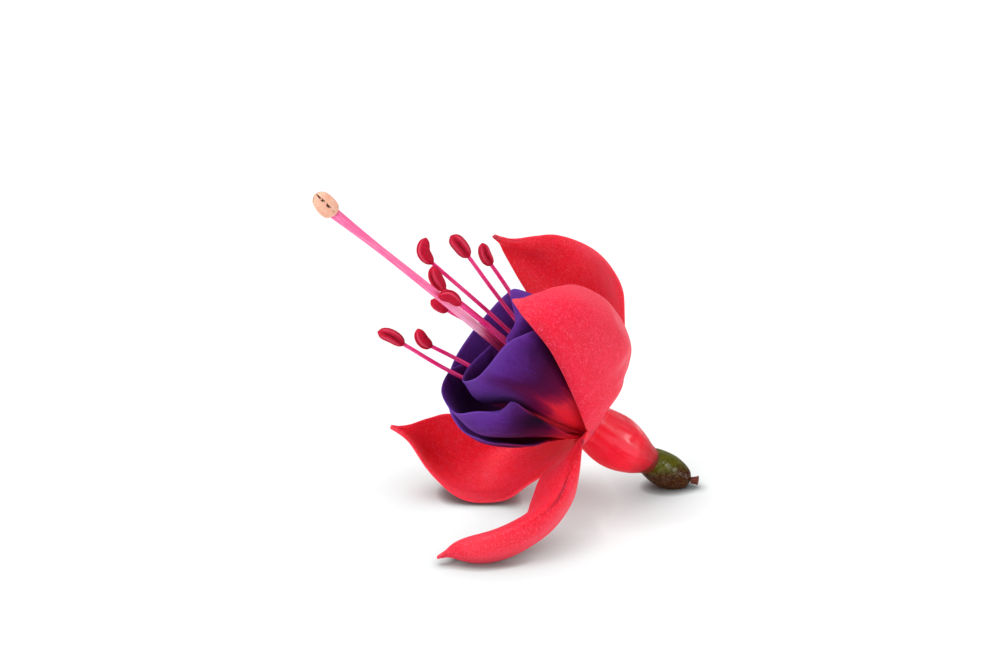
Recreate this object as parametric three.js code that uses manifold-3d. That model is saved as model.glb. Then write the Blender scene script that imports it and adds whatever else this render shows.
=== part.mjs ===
// A single fuchsia flower, picked and lying on its side on a flat surface.
//
// Lengths are in millimetres. The flower is drawn in a bloom frame whose origin is the middle of
// the throat, where the floral tube ends and the sepals, petals and stamens begin: x runs across,
// y up the slope of the flower and z towards the open side. The bloom group then tips that frame
// back, so that the flower rests on the ovary, on the belly of the far lower sepal and on the
// edge of the near lower sepal, with +Z up and the resting surface at z = 0.
import * as THREE from 'three';
import { mergeVertices } from 'three/addons/utils/BufferGeometryUtils.js';
import Module from 'manifold-3d';

const wasm = await Module();
wasm.setup();

// ---------------------------------------------------------------- driving dimensions
const TIP_BACK_DEG = 68; // how far the bloom frame is tipped about x
const THROAT_HEIGHT = 13.0; // middle of the throat above the resting surface
const ORIGIN_OFFSET = [12.72, 2.401]; // middle of the throat from the middle of the footprint, in plan

const SEPAL_THICKNESS = 0.8;
const PETAL_THICKNESS = 0.6;
const SEPAL_FOOT = 1.1; // middle of a sepal's foot above the end of the tube
const PETAL_FOOT = 0.9;
const STAMEN_FOOT = 0.8;

const SEPAL_RING_RADIUS = 3.7; // middle of the sepals where they leave the throat
const PETAL_RING_RADIUS = 2.35;
const STAMEN_RING_RADIUS = 1.4;

const TUBE_BORE_RADIUS = 1.15; // passage for the style
const BORE_OVERRUN = 1.5; // how far the cut for the passage runs past the tube's ends
const FILAMENT_RADIUS = 0.36;

// Points along and across each face of a blade, and along and round each round piece.
const SEPAL_GRID = [19, 13];
const PETAL_GRID = [15, 17];
const TUBE_GRID = [12, 20];
const BORE_SIDES = 10;
const OVARY_GRID = [13, 16];
const STALK_GRID = [5, 10];
const STYLE_GRID = [24, 10];
const STIGMA_GRID = [9, 20];
const FILAMENT_GRID = [11, 8];
const ANTHER_GRID = [8, 10];

// ---------------------------------------------------------------- throat frame
const THROAT_NORMAL = new THREE.Vector3(-0.78, 0.52, 0.25).normalize();
const THROAT_NEAR = new THREE.Vector3(0, 0, 1).projectOnPlane(THROAT_NORMAL).normalize();
const THROAT_UP = new THREE.Vector3().crossVectors(THROAT_NORMAL, THROAT_NEAR);

// A point near the throat: turned from the upper side towards the near side, at a distance from
// the middle and at a height along the throat's normal.
function throatPoint(turnDeg, radius, height) {
  const turn = THREE.MathUtils.degToRad(turnDeg);
  return new THREE.Vector3()
    .addScaledVector(THROAT_UP, radius * Math.cos(turn))
    .addScaledVector(THROAT_NEAR, radius * Math.sin(turn))
    .addScaledVector(THROAT_NORMAL, height);
}

function throatArc(fromDeg, toDeg, count, radius, height) {
  return Array.from({ length: count }, (_, i) =>
    throatPoint(THREE.MathUtils.lerp(fromDeg, toDeg, i / (count - 1)), radius, height));
}

// ---------------------------------------------------------------- solids from curves
const toVector = (p) => (p.isVector3 ? p : new THREE.Vector3(...p));

// Points at even steps of the parameter along the smooth curve through the given points.
function smoothLine(points, count) {
  const curve = new THREE.CatmullRomCurve3(points.map(toVector), false, 'catmullrom', 0.5);
  return Array.from({ length: count }, (_, i) => curve.getPoint(i / (count - 1)));
}

// An indexed closed mesh, turned so that its faces point outwards.
function closedGeometry(points, triangles) {
  const volume = triangles.reduce((sum, [a, b, c]) =>
    sum + points[a].dot(new THREE.Vector3().crossVectors(points[b], points[c])), 0);
  const outward = volume > 0 ? triangles : triangles.map(([a, b, c]) => [a, c, b]);
  const geometry = new THREE.BufferGeometry();
  geometry.setAttribute('position',
    new THREE.Float32BufferAttribute(points.flatMap((p) => [p.x, p.y, p.z]), 3));
  geometry.setIndex(outward.flat());
  return geometry;
}

// A solid whose skin runs from ring to ring, closed by a fan at each end.
function ringSolid(rings) {
  const sides = rings[0].length;
  const points = rings.flat();
  const triangles = [];
  for (let ring = 0; ring < rings.length - 1; ring += 1) {
    for (let side = 0; side < sides; side += 1) {
      const a = ring * sides + side;
      const b = ring * sides + ((side + 1) % sides);
      triangles.push([a, b, b + sides], [a, b + sides, a + sides]);
    }
  }
  for (const [first, flip] of [[0, true], [(rings.length - 1) * sides, false]]) {
    const middle = points.slice(first, first + sides)
      .reduce((sum, p) => sum.add(p), new THREE.Vector3()).divideScalar(sides);
    points.push(middle);
    for (let side = 0; side < sides; side += 1) {
      const a = first + side;
      const b = first + ((side + 1) % sides);
      triangles.push(flip ? [b, a, points.length - 1] : [a, b, points.length - 1]);
    }
  }
  return closedGeometry(points, triangles);
}

// Rings square to a line of centres. radiusAt(along, turn) gives the radius at a share of the
// length and an angle round the line; the frame is carried along without twisting.
function ringsAlong(centres, sides, radiusAt, startAcross = THROAT_UP) {
  let across = startAcross.clone();
  return centres.map((centre, i) => {
    const before = centres[Math.max(i - 1, 0)];
    const after = centres[Math.min(i + 1, centres.length - 1)];
    const tangent = new THREE.Vector3().subVectors(after, before).normalize();
    across = across.projectOnPlane(tangent).normalize();
    const side = new THREE.Vector3().crossVectors(tangent, across);
    return Array.from({ length: sides }, (_, k) => {
      const turn = (2 * Math.PI * k) / sides;
      const radius = radiusAt(i / (centres.length - 1), turn);
      return centre.clone()
        .addScaledVector(across, radius * Math.cos(turn))
        .addScaledVector(side, radius * Math.sin(turn));
    });
  });
}

// A value read from evenly spaced stations along a piece.
function profile(stations) {
  return (along) => {
    const x = along * (stations.length - 1);
    const i = Math.min(Math.floor(x), stations.length - 2);
    return THREE.MathUtils.lerp(stations[i], stations[i + 1], x - i);
  };
}

// A thin blade: a smooth surface through rows of points, given half its thickness on each side.
// Both faces are split along the same diagonals, so a waved blade never crosses itself.
function blade(rows, [rowCount, columnCount], thickness) {
  const columns = rows[0].map((_, c) => smoothLine(rows.map((row) => row[c]), rowCount));
  const grid = Array.from({ length: rowCount }, (_, r) =>
    smoothLine(columns.map((column) => column[r]), columnCount));
  const at = (r, c) => grid[THREE.MathUtils.clamp(r, 0, rowCount - 1)][
    THREE.MathUtils.clamp(c, 0, columnCount - 1)];
  const normalAt = (r, c) => {
    const row = THREE.MathUtils.clamp(r, 1, rowCount - 2);
    const along = new THREE.Vector3().subVectors(at(row + 1, c), at(row - 1, c));
    const across = new THREE.Vector3().subVectors(at(row, c + 1), at(row, c - 1));
    return along.cross(across).normalize();
  };
  const points = [];
  for (const side of [0.5, -0.5]) {
    for (let r = 0; r < rowCount; r += 1) {
      for (let c = 0; c < columnCount; c += 1) {
        points.push(at(r, c).clone().addScaledVector(normalAt(r, c), side * thickness));
      }
    }
  }
  const under = rowCount * columnCount;
  const index = (r, c) => r * columnCount + c;
  const triangles = [];
  for (let r = 0; r < rowCount - 1; r += 1) {
    for (let c = 0; c < columnCount - 1; c += 1) {
      const [a, b, d, e] = [index(r, c), index(r, c + 1), index(r + 1, c + 1), index(r + 1, c)];
      triangles.push([a, b, d], [a, d, e]);
      triangles.push([a + under, d + under, b + under], [a + under, e + under, d + under]);
    }
  }
  const edge = [];
  for (let c = 0; c < columnCount - 1; c += 1) edge.push(index(0, c));
  for (let r = 0; r < rowCount - 1; r += 1) edge.push(index(r, columnCount - 1));
  for (let c = columnCount - 1; c > 0; c -= 1) edge.push(index(rowCount - 1, c));
  for (let r = rowCount - 1; r > 0; r -= 1) edge.push(index(r, 0));
  edge.forEach((a, i) => {
    const b = edge[(i + 1) % edge.length];
    triangles.push([a, a + under, b + under], [a, b + under, b]);
  });
  return closedGeometry(points, triangles);
}

// ---------------------------------------------------------------- cutting
function toManifold(geometry) {
  const bare = geometry.clone();
  bare.deleteAttribute('normal');
  bare.deleteAttribute('uv');
  const merged = mergeVertices(bare, 1e-5);
  return new wasm.Manifold(new wasm.Mesh({
    numProp: 3,
    vertProperties: Float32Array.from(merged.attributes.position.array),
    triVerts: Uint32Array.from(merged.index.array),
  }));
}

function fromManifold(solid) {
  const mesh = solid.getMesh();
  const geometry = new THREE.BufferGeometry();
  geometry.setAttribute('position', new THREE.BufferAttribute(mesh.vertProperties, 3));
  geometry.setIndex(new THREE.BufferAttribute(mesh.triVerts, 1));
  return geometry;
}

const bloom = new THREE.Group();
bloom.rotation.x = THREE.MathUtils.degToRad(TIP_BACK_DEG);
bloom.position.set(ORIGIN_OFFSET[0], ORIGIN_OFFSET[1], THROAT_HEIGHT);
bloom.updateMatrix();

// The resting surface as a block, seen from the bloom frame. It planes a small flat on each piece
// that the flower rests on.
const TABLE_SIZE = 200;
const tableBlock = new THREE.BoxGeometry(TABLE_SIZE, TABLE_SIZE, TABLE_SIZE)
  .translate(0, 0, -TABLE_SIZE / 2)
  .applyMatrix4(bloom.matrix.clone().invert());

function restedOnTable(geometry) {
  return fromManifold(toManifold(geometry).subtract(toManifold(tableBlock)));
}

// ---------------------------------------------------------------- sepals
// Each row of points crosses a sepal from one edge to the other, and the rows go from the throat
// to the tip. The row at the throat itself is an arc of the sepal ring.
const SEPAL_NEAR_UP_ROWS = [
  [[2.0, 4.2, 1.1], [1.5, 3.2, 3.8], [0.6, 2.1, 5.6], [-0.4, 1.0, 6.4], [-1.3, 0.0, 6.2]],
  [[3.8, 6.4, 0.0], [3.2, 6.0, 5.0], [1.1, 5.3, 8.5], [-1.3, 4.1, 9.9], [-2.8, 3.0, 9.6]],
  [[5.5, 10.2, -1.5], [4.5, 10.3, 6.0], [1.3, 9.9, 11.5], [-2.5, 8.2, 13.9], [-4.8, 7.4, 13.0]],
  [[5.7, 13.9, -2.5], [4.3, 14.7, 6.5], [0.8, 15.0, 13.5], [-4.1, 13.3, 17.0], [-7.2, 12.1, 16.2]],
  [[2.9, 19.0, -0.5], [1.3, 19.8, 7.0], [-2.3, 19.7, 14.0], [-7.1, 17.7, 17.9], [-10.1, 15.8, 17.7]],
  [[-3.5, 22.8, 6.0], [-4.7, 22.5, 10.5], [-7.2, 21.5, 14.5], [-9.7, 19.8, 17.0], [-11.7, 17.7, 17.5]],
  [[-10.1, 20.7, 13.5], [-10.4, 20.4, 15.0], [-11.0, 20.0, 16.2], [-11.7, 19.5, 17.0],
    [-12.4, 18.7, 17.3]],
  [[-13.3, 20.4, 15.5], [-13.3, 20.4, 15.7], [-13.3, 20.3, 15.9], [-13.3, 20.2, 16.1],
    [-13.4, 20.1, 16.3]],
];
const SEPAL_FAR_UP_ROWS = [
  [[-2.5, 2.4, -4.9], [-1.4, 3.2, -5.1], [-0.2, 3.9, -4.7], [0.7, 4.6, -3.0], [1.6, 4.6, -0.3]],
  [[-3.8, 5.3, -7.5], [-1.8, 6.6, -8.8], [0.6, 7.7, -9.0], [2.7, 7.9, -7.2], [3.7, 7.3, -3.5]],
  [[-5.9, 10.1, -9.5], [-2.7, 11.9, -12.0], [0.9, 12.9, -12.5], [3.6, 12.4, -10.8], [4.6, 11.1, -6.5]],
  [[-8.2, 15.7, -9.0], [-4.4, 17.7, -12.0], [-0.1, 18.8, -12.5], [3.5, 18.8, -11.0], [5.0, 17.3, -7.5]],
  [[-10.3, 20.7, -6.0], [-6.5, 22.7, -9.0], [-2.3, 24.2, -9.5], [1.8, 24.8, -9.0], [4.5, 22.7, -7.0]],
  [[-12.6, 24.5, -3.0], [-9.7, 26.2, -4.8], [-6.1, 27.5, -5.0], [-2.4, 28.5, -5.5], [0.7, 28.3, -6.0]],
  [[-14.6, 28.0, -0.5], [-13.0, 28.7, -1.0], [-11.0, 29.2, -1.3], [-8.6, 30.0, -2.0], [-6.2, 31.0, -2.8]],
  [[-15.4, 29.6, 0.8], [-15.0, 29.7, 0.6], [-14.4, 29.9, 0.4], [-13.6, 29.9, 0.2], [-12.5, 30.0, 0.0]],
  [[-16.2, 30.8, 1.5], [-16.0, 30.8, 1.4], [-15.8, 30.8, 1.3], [-15.7, 30.7, 1.2], [-15.5, 30.5, 1.1]],
];
const SEPAL_FAR_DOWN_ROWS = [
  [[-3.9, -3.6, 2.4], [-4.15, -3.6, -0.25], [-4.3, -2.7, -3.1], [-4.2, -0.6, -5.4], [-3.1, 0.7, -5.9]],
  [[-6.7, -6.4, 1.0], [-7.8, -5.9, -2.5], [-8.1, -4.3, -6.0], [-7.4, -1.9, -9.0], [-6.0, 0.3, -9.8]],
  [[-10.4, -9.1, -1.5], [-11.5, -8.1, -5.5], [-12.3, -6.0, -9.0], [-11.9, -3.0, -12.0],
    [-10.9, 0.1, -12.0]],
  [[-14.7, -11.7, -3.1], [-16.0, -10.2, -7.7], [-17.2, -7.6, -11.0], [-17.3, -3.6, -13.0],
    [-16.8, 0.2, -12.0]],
  [[-20.5, -11.8, -3.4], [-21.7, -10.2, -7.5], [-23.1, -7.2, -10.3], [-23.4, -3.2, -11.0],
    [-23.0, 1.0, -9.5]],
  [[-25.4, -8.3, -3.6], [-26.4, -7.0, -6.5], [-27.1, -4.7, -8.3], [-27.3, -1.8, -8.5],
    [-26.8, 1.4, -7.5]],
  [[-29.4, -2.8, -3.0], [-29.7, -2.2, -4.2], [-29.9, -1.5, -5.0], [-29.9, -0.5, -5.2],
    [-29.9, 0.4, -4.8]],
  [[-32.8, 0.0, -3.0], [-32.9, 0.0, -3.2], [-32.9, 0.1, -3.4], [-32.8, 0.2, -3.5], [-32.8, 0.3, -3.6]],
];
const SEPAL_NEAR_DOWN_ROWS = [
  [[-1.6, -0.6, 6.3], [-2.1, -1.2, 6.3], [-2.7, -2.0, 5.8], [-3.2, -2.9, 5.1], [-3.6, -3.5, 4.3]],
  [[-2.5, -3.0, 8.0], [-2.7, -3.2, 8.7], [-3.4, -3.6, 8.4], [-4.8, -4.5, 7.0], [-6.3, -5.7, 4.5]],
  [[-3.0, -7.0, 9.5], [-3.3, -6.8, 11.2], [-4.8, -6.9, 11.7], [-6.9, -7.5, 9.7], [-8.9, -7.8, 6.0]],
  [[-4.0, -11.0, 10.5], [-4.9, -10.4, 13.0], [-6.7, -10.5, 14.0], [-8.8, -11.1, 11.5],
    [-10.3, -11.3, 7.0]],
  [[-7.1, -15.4, 13.6], [-8.3, -14.3, 16.0], [-9.7, -13.1, 16.5], [-10.9, -13.2, 13.3],
    [-11.4, -14.3, 8.5]],
  [[-12.4, -18.8, 15.0], [-13.2, -17.2, 17.5], [-14.3, -15.2, 17.8], [-15.4, -15.2, 14.3],
    [-16.0, -16.7, 9.5]],
  [[-17.5, -20.2, 15.2], [-18.3, -18.6, 17.8], [-19.0, -16.6, 17.8], [-20.1, -16.4, 14.8],
    [-20.8, -17.8, 10.5]],
  [[-20.9, -19.8, 15.7], [-21.2, -18.8, 17.0], [-21.8, -17.6, 17.3], [-22.4, -17.5, 16.0],
    [-22.8, -18.3, 13.8]],
  [[-23.2, -19.0, 16.0], [-23.3, -18.8, 16.5], [-23.4, -18.4, 16.7], [-23.5, -18.4, 16.4],
    [-23.6, -18.6, 15.6]],
  [[-24.9, -19.6, 16.6], [-24.9, -19.5, 16.5], [-24.9, -19.4, 16.4], [-24.9, -19.4, 16.2],
    [-24.9, -19.5, 16.0]],
];

function sepal(fromDeg, toDeg, rows) {
  const ring = throatArc(fromDeg, toDeg, rows[0].length, SEPAL_RING_RADIUS, SEPAL_FOOT);
  return blade([ring, ...rows], SEPAL_GRID, SEPAL_THICKNESS);
}

// ---------------------------------------------------------------- petals
// The same rows for the four broad petals that overlap round the mouth of the corolla. The near
// petal rolls back on itself, and the far petal wraps most of the way round behind the stamens.
const PETAL_NEAR_ROWS = [
  [[-0.8, 3.3, 4.5], [-1.6, 2.9, 6.1], [-2.8, 2.4, 7.0], [-3.4, 1.5, 7.0], [-3.8, 0.7, 6.0],
    [-4.0, 0.2, 4.8], [-3.8, 0.1, 4.0], [-3.6, 0.3, 3.5]],
  [[-2.6, 7.8, 8.3], [-4.3, 7.0, 11.1], [-6.2, 6.0, 12.8], [-7.6, 4.3, 12.8], [-8.5, 3.0, 11.0],
    [-8.5, 2.3, 9.0], [-7.8, 2.5, 7.5], [-7.2, 2.9, 7.0]],
  [[-4.5, 12.5, 11.5], [-7.8, 11.6, 14.8], [-10.6, 9.8, 17.5], [-12.9, 7.0, 17.0], [-14.0, 5.3, 14.0],
    [-13.6, 4.4, 10.5], [-12.4, 4.7, 8.5], [-11.3, 5.6, 7.5]],
  [[-5.9, 14.9, 13.1], [-10.2, 13.9, 16.7], [-12.9, 12.3, 19.0], [-15.8, 9.1, 19.0], [-18.0, 6.1, 16.0],
    [-18.3, 4.6, 12.0], [-17.1, 5.0, 9.0], [-15.2, 7.0, 7.5]],
  [[-6.8, 16.5, 14.1], [-11.0, 15.2, 17.0], [-14.1, 13.5, 19.5], [-16.9, 10.0, 20.0], [-19.0, 8.2, 17.5],
    [-21.1, 7.8, 13.5], [-19.9, 10.2, 9.5], [-16.5, 13.5, 8.0]],
];
const PETAL_DOWN_ROWS = [
  [[-4.0, -0.7, 5.9], [-4.3, -1.1, 4.9], [-4.4, -1.5, 3.3], [-4.3, -1.1, 1.6], [-4.1, -1.0, 0.6],
    [-4.0, -0.8, 0.0], [-3.8, -0.5, -0.4]],
  [[-8.0, 1.3, 9.9], [-8.6, 0.5, 9.8], [-9.3, -0.4, 8.4], [-9.2, -1.1, 5.1], [-8.8, -0.9, 1.2],
    [-8.1, -0.3, -1.2], [-7.6, 0.8, -2.3]],
  [[-11.3, 3.4, 13.6], [-12.6, 2.0, 14.2], [-13.6, 0.0, 12.9], [-14.8, -0.8, 9.7], [-14.6, -1.0, 3.7],
    [-14.4, 0.5, -0.2], [-13.7, 2.7, -2.0]],
  [[-13.0, 4.4, 14.6], [-14.6, 3.0, 16.2], [-16.7, 1.7, 17.0], [-18.7, 0.1, 13.6], [-19.9, 0.4, 7.4],
    [-20.0, 2.9, 1.6], [-18.2, 5.4, -1.1]],
  [[-13.7, 4.6, 15.2], [-15.5, 3.3, 17.0], [-18.9, 3.1, 18.0], [-22.5, 3.0, 15.9], [-24.6, 5.8, 10.6],
    [-23.4, 9.2, 4.5], [-20.8, 10.4, 1.6]],
];
const PETAL_FAR_ROWS = [
  [[-5.3, -1.9, -0.7], [-5.0, -1.2, -1.6], [-4.3, 0.3, -2.4], [-3.5, 1.2, -3.0], [-2.6, 2.2, -2.8],
    [-1.9, 3.1, -2.4], [-1.3, 3.6, -1.7]],
  [[-8.1, -2.0, 5.5], [-9.1, -2.1, 0.0], [-9.1, -0.2, -4.6], [-8.1, 2.6, -5.8], [-6.1, 4.8, -5.8],
    [-4.4, 6.5, -4.5], [-3.1, 7.2, -2.5]],
  [[-12.1, -2.5, 8.0], [-14.1, -2.5, 1.0], [-15.2, 0.8, -5.0], [-14.4, 5.0, -6.8], [-12.0, 8.9, -6.8],
    [-8.7, 11.5, -5.0], [-6.7, 12.5, -2.0]],
  [[-15.4, -2.5, 8.5], [-18.7, -1.8, 2.0], [-20.9, 2.4, -4.0], [-20.1, 7.6, -6.0], [-17.0, 12.6, -6.0],
    [-13.1, 16.3, -4.0], [-10.4, 17.6, -0.5]],
  [[-17.4, -2.0, 9.0], [-21.2, -0.2, 3.0], [-23.7, 4.4, -2.0], [-22.9, 9.9, -4.0], [-19.7, 15.5, -4.5],
    [-15.8, 20.0, -2.0], [-13.8, 21.8, 2.0]],
];
const PETAL_UP_ROWS = [
  [[-2.4, 5.1, 5.4], [-1.5, 6.6, 4.9], [-1.4, 7.9, 3.3], [-2.3, 8.2, 1.5], [-3.2, 8.1, 0.3],
    [-3.7, 7.7, 0.1]],
  [[-7.1, 8.1, 10.0], [-5.0, 10.6, 9.9], [-4.1, 13.6, 7.5], [-5.4, 14.6, 4.3], [-6.9, 14.5, 2.1],
    [-8.0, 13.9, 1.2]],
  [[-14.1, 13.2, 14.5], [-12.1, 15.7, 15.5], [-9.0, 17.5, 13.5], [-6.4, 18.2, 8.5], [-5.4, 17.6, 4.0],
    [-5.6, 16.5, 0.0]],
  [[-13.0, 16.8, 11.5], [-11.8, 18.6, 12.5], [-9.6, 19.9, 11.5], [-7.3, 19.9, 7.5], [-6.3, 19.3, 3.5],
    [-6.4, 18.2, 0.0]],
  [[-13.6, 21.8, 8.5], [-13.0, 22.1, 9.0], [-11.8, 21.9, 9.0], [-10.2, 21.1, 7.5], [-8.7, 20.3, 5.0],
    [-7.9, 19.3, 2.5]],
];

function petal(fromDeg, toDeg, rows) {
  const ring = throatArc(fromDeg, toDeg, rows[0].length, PETAL_RING_RADIUS, PETAL_FOOT);
  return blade([ring, ...rows], PETAL_GRID, PETAL_THICKNESS);
}

// ---------------------------------------------------------------- tube, ovary and stalk
// The line through the middle of the tube, from the throat to the neck above the ovary.
const TUBE_AXIS = [[0, 0, 0], [2.9, -1.9, -1.5], [6.1, -3.7, -4.2], [8.9, -5.4, -7.0]];
const TUBE_RADII = [3.9, 4.15, 4.3, 4.3, 4.05, 3.6, 3.0, 2.5, 2.2];
const OVARY_AXIS = [[9.2, -5.6, -7.2], [11.0, -6.6, -8.9], [13.2, -7.8, -9.9], [15.9, -8.9, -9.6]];
const OVARY_RADII = [2.1, 2.5, 2.75, 2.85, 2.8, 2.6, 2.2, 1.5, 0.7];
const STALK_AXIS = [[16.35, -8.87, -9.5], [16.75, -8.9, -9.4], [17.15, -8.95, -9.3]];
const STALK_RADII = [0.6, 0.65, 0.85];

function floralTube() {
  const [ringCount, sides] = TUBE_GRID;
  const centres = smoothLine(TUBE_AXIS, ringCount);
  const outside = ringSolid(ringsAlong(centres, sides, profile(TUBE_RADII)));
  const first = centres[0].clone().addScaledVector(THROAT_NORMAL, BORE_OVERRUN);
  const end = centres.at(-1);
  const endward = end.clone().sub(centres.at(-2)).setLength(BORE_OVERRUN);
  const line = [first, ...centres, end.clone().add(endward)];
  const passage = ringSolid(ringsAlong(line, BORE_SIDES, () => TUBE_BORE_RADIUS));
  return fromManifold(toManifold(outside).subtract(toManifold(passage)));
}

const swept = (axis, radii, [ringCount, sides]) =>
  ringSolid(ringsAlong(smoothLine(axis, ringCount), sides, profile(radii)));

// ---------------------------------------------------------------- style and stamens
const STYLE_AXIS = [[8.6, -5.2, -6.75], [6.1, -3.7, -4.2], [2.9, -1.9, -1.5], [0, 0, 0], [-3.1, 2.4, 1.8],
  [-8.3, 7.0, 5.6], [-15.7, 13.6, 11.3], [-28.0, 23.6, 19.9], [-40.0, 32.8, 27.5]];
const STYLE_RADII = [0.55, 0.55, 0.55, 0.6, 0.65, 0.65, 0.65, 0.65, 0.7, 1.0];
const STIGMA_AXIS = [[-40.3, 33.0, 27.7], [-41.2, 34.0, 28.4], [-42.1, 35.0, 29.1]];
const STIGMA_RADII = [1.05, 1.5, 1.75, 1.85, 1.8, 1.55, 1.1, 0.5];
const STIGMA_LOBES = 4;
const STIGMA_LOBE_DEPTH = 0.1;

function stigma() {
  const radius = profile(STIGMA_RADII);
  const [ringCount, sides] = STIGMA_GRID;
  return ringSolid(ringsAlong(smoothLine(STIGMA_AXIS, ringCount), sides, (along, turn) =>
    radius(along) * (1 + STIGMA_LOBE_DEPTH * along * Math.cos(STIGMA_LOBES * turn))));
}

// Each stamen: where its filament leaves the throat, a point on its way, its end, and the two
// ends and the middle of its anther, which bends like a bean.
const STAMENS = [
  { turn: -80, way: [-12.9, 14.6, 7.0], end: [-25.7, 25.9, 14.6],
    anther: [[-26.0, 26.2, 14.8], [-27.4, 28.1, 15.4], [-27.0, 30.2, 16.0]], radius: 1.05 },
  { turn: 10, way: [-13.8, 18.7, 6.2], end: [-19.8, 26.7, 9.4],
    anther: [[-20.0, 27.0, 9.5], [-21.4, 28.9, 10.0], [-22.7, 30.3, 10.5]], radius: 1.3 },
  { turn: -35, way: [-13.5, 21.5, 4.6], end: [-16.3, 25.5, 5.8],
    anther: [[-16.5, 25.8, 5.9], [-17.5, 27.4, 6.2], [-18.0, 29.4, 6.6]], radius: 1.05 },
  { turn: 55, way: [-14.0, 14.4, 9.6], end: [-23.6, 21.4, 15.2],
    anther: [[-23.9, 21.7, 15.4], [-25.1, 23.5, 15.9], [-25.7, 25.5, 16.5]], radius: 1.15 },
  { turn: 100, way: [-14.7, 13.2, 13.0], end: [-21.2, 19.5, 18.3],
    anther: [[-21.5, 19.7, 18.5], [-22.9, 20.9, 19.0], [-24.6, 20.9, 19.3]], radius: 1.0 },
  { turn: -125, way: [-17.2, 14.9, 8.6], end: [-24.2, 19.2, 10.8],
    anther: [[-24.5, 19.4, 11.0], [-25.4, 19.9, 11.2], [-26.6, 20.6, 11.5]], radius: 1.0 },
  { turn: -170, way: [-20.8, 8.0, 5.4], end: [-29.9, 13.1, 7.8],
    anther: [[-30.2, 13.3, 7.9], [-32.2, 14.6, 8.4], [-34.3, 15.2, 8.8]], radius: 1.25 },
  { turn: -215, way: [-19.6, 9.8, 6.2], end: [-25.5, 12.9, 8.6],
    anther: [[-25.8, 13.0, 8.7], [-27.4, 14.0, 9.0], [-28.2, 15.9, 9.4]], radius: 1.0 },
];
const ANTHER_RADII = [0.35, 0.75, 0.95, 1.0, 1.0, 0.95, 0.75, 0.3];
const ANTHER_GROOVE = 0.18; // how far the seam between the two lobes is sunk, as a share

function filament({ turn, way, end }) {
  const foot = throatPoint(turn, STAMEN_RING_RADIUS, STAMEN_FOOT);
  return swept([foot, way, end], [FILAMENT_RADIUS, FILAMENT_RADIUS], FILAMENT_GRID);
}

function anther({ anther: line, radius }) {
  const swell = profile(ANTHER_RADII);
  const facing = new THREE.Vector3(0, 0, 1);
  const [ringCount, sides] = ANTHER_GRID;
  return ringSolid(ringsAlong(smoothLine(line, ringCount), sides, (along, turn) => {
    const seam = Math.max(0, Math.cos(turn)) ** 4;
    return radius * swell(along) * (1 - ANTHER_GROOVE * seam);
  }, facing));
}

// ---------------------------------------------------------------- materials
const finish = (color, roughness) => new THREE.MeshStandardMaterial({ color, roughness, metalness: 0 });
const SEPAL_RED = finish(0xe62d3c, 0.5);
const TUBE_RED = finish(0xf0364a, 0.3);
const PETAL_VIOLET = finish(0x4b2882, 0.6);
const FILAMENT_MAGENTA = finish(0xde286e, 0.45);
const ANTHER_CRIMSON = finish(0xbe193c, 0.6);
const STYLE_PINK = finish(0xf55f9b, 0.45);
const STIGMA_PEACH = finish(0xf0b496, 0.6);
const OVARY_GREEN = finish(0x4a5220, 0.25);
const STALK_BROWN = finish(0x783c28, 0.7);

// ---------------------------------------------------------------- the flower
const flower = new THREE.Group();
flower.add(bloom);

function place(name, geometry, material) {
  const mesh = new THREE.Mesh(geometry, material);
  mesh.name = name;
  bloom.add(mesh);
}

place('pedicel_stub', swept(STALK_AXIS, STALK_RADII, STALK_GRID), STALK_BROWN);
place('ovary', restedOnTable(swept(OVARY_AXIS, OVARY_RADII, OVARY_GRID)), OVARY_GREEN);
place('floral_tube', floralTube(), TUBE_RED);
place('sepal_near_up', sepal(5, 85, SEPAL_NEAR_UP_ROWS), SEPAL_RED);
place('sepal_far_up', sepal(275, 355, SEPAL_FAR_UP_ROWS), SEPAL_RED);
place('sepal_far_down', restedOnTable(sepal(186, 265, SEPAL_FAR_DOWN_ROWS)), SEPAL_RED);
place('sepal_near_down', restedOnTable(sepal(95, 174, SEPAL_NEAR_DOWN_ROWS)), SEPAL_RED);
place('petal_near', petal(58, 122, PETAL_NEAR_ROWS), PETAL_VIOLET);
place('petal_down', petal(150, 210, PETAL_DOWN_ROWS), PETAL_VIOLET);
place('petal_far', petal(240, 300, PETAL_FAR_ROWS), PETAL_VIOLET);
place('petal_up', petal(38, -38, PETAL_UP_ROWS), PETAL_VIOLET);
place('style', swept(STYLE_AXIS, STYLE_RADII, STYLE_GRID), STYLE_PINK);
place('stigma', stigma(), STIGMA_PEACH);
STAMENS.forEach((stamen, i) => {
  place(`filament_${i + 1}`, filament(stamen), FILAMENT_MAGENTA);
  place(`anther_${i + 1}`, anther(stamen), ANTHER_CRIMSON);
});

export default flower;
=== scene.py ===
"""A picked fuchsia flower that lies on a pale surface.

The flower is drawn in a bloom frame in millimetres, whose origin is the middle of the throat, where
the floral tube ends and the sepals, petals and stamens begin: x runs across, y up the slope of the
flower and z towards its open side. Every point is then tipped back and put in its place in metres.
"""

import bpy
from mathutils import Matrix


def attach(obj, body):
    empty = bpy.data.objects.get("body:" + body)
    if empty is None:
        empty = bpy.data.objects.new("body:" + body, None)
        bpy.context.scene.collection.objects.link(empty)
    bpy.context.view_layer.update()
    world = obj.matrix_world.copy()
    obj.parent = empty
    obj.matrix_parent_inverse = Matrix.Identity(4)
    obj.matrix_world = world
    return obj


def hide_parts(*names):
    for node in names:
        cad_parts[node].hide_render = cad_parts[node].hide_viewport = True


bl_info = {
    "name": "Fuchsia Flower",
    "version": (1, 0, 0),
    "blender": (4, 5, 0),
    "location": "3D View > Sidebar > Fuchsia",
    "description": "Makes the parts of a picked fuchsia flower and the light that it lies in",
    "category": "Object",
}

import math

import bpy
import numpy as np
from mathutils import Vector

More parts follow.
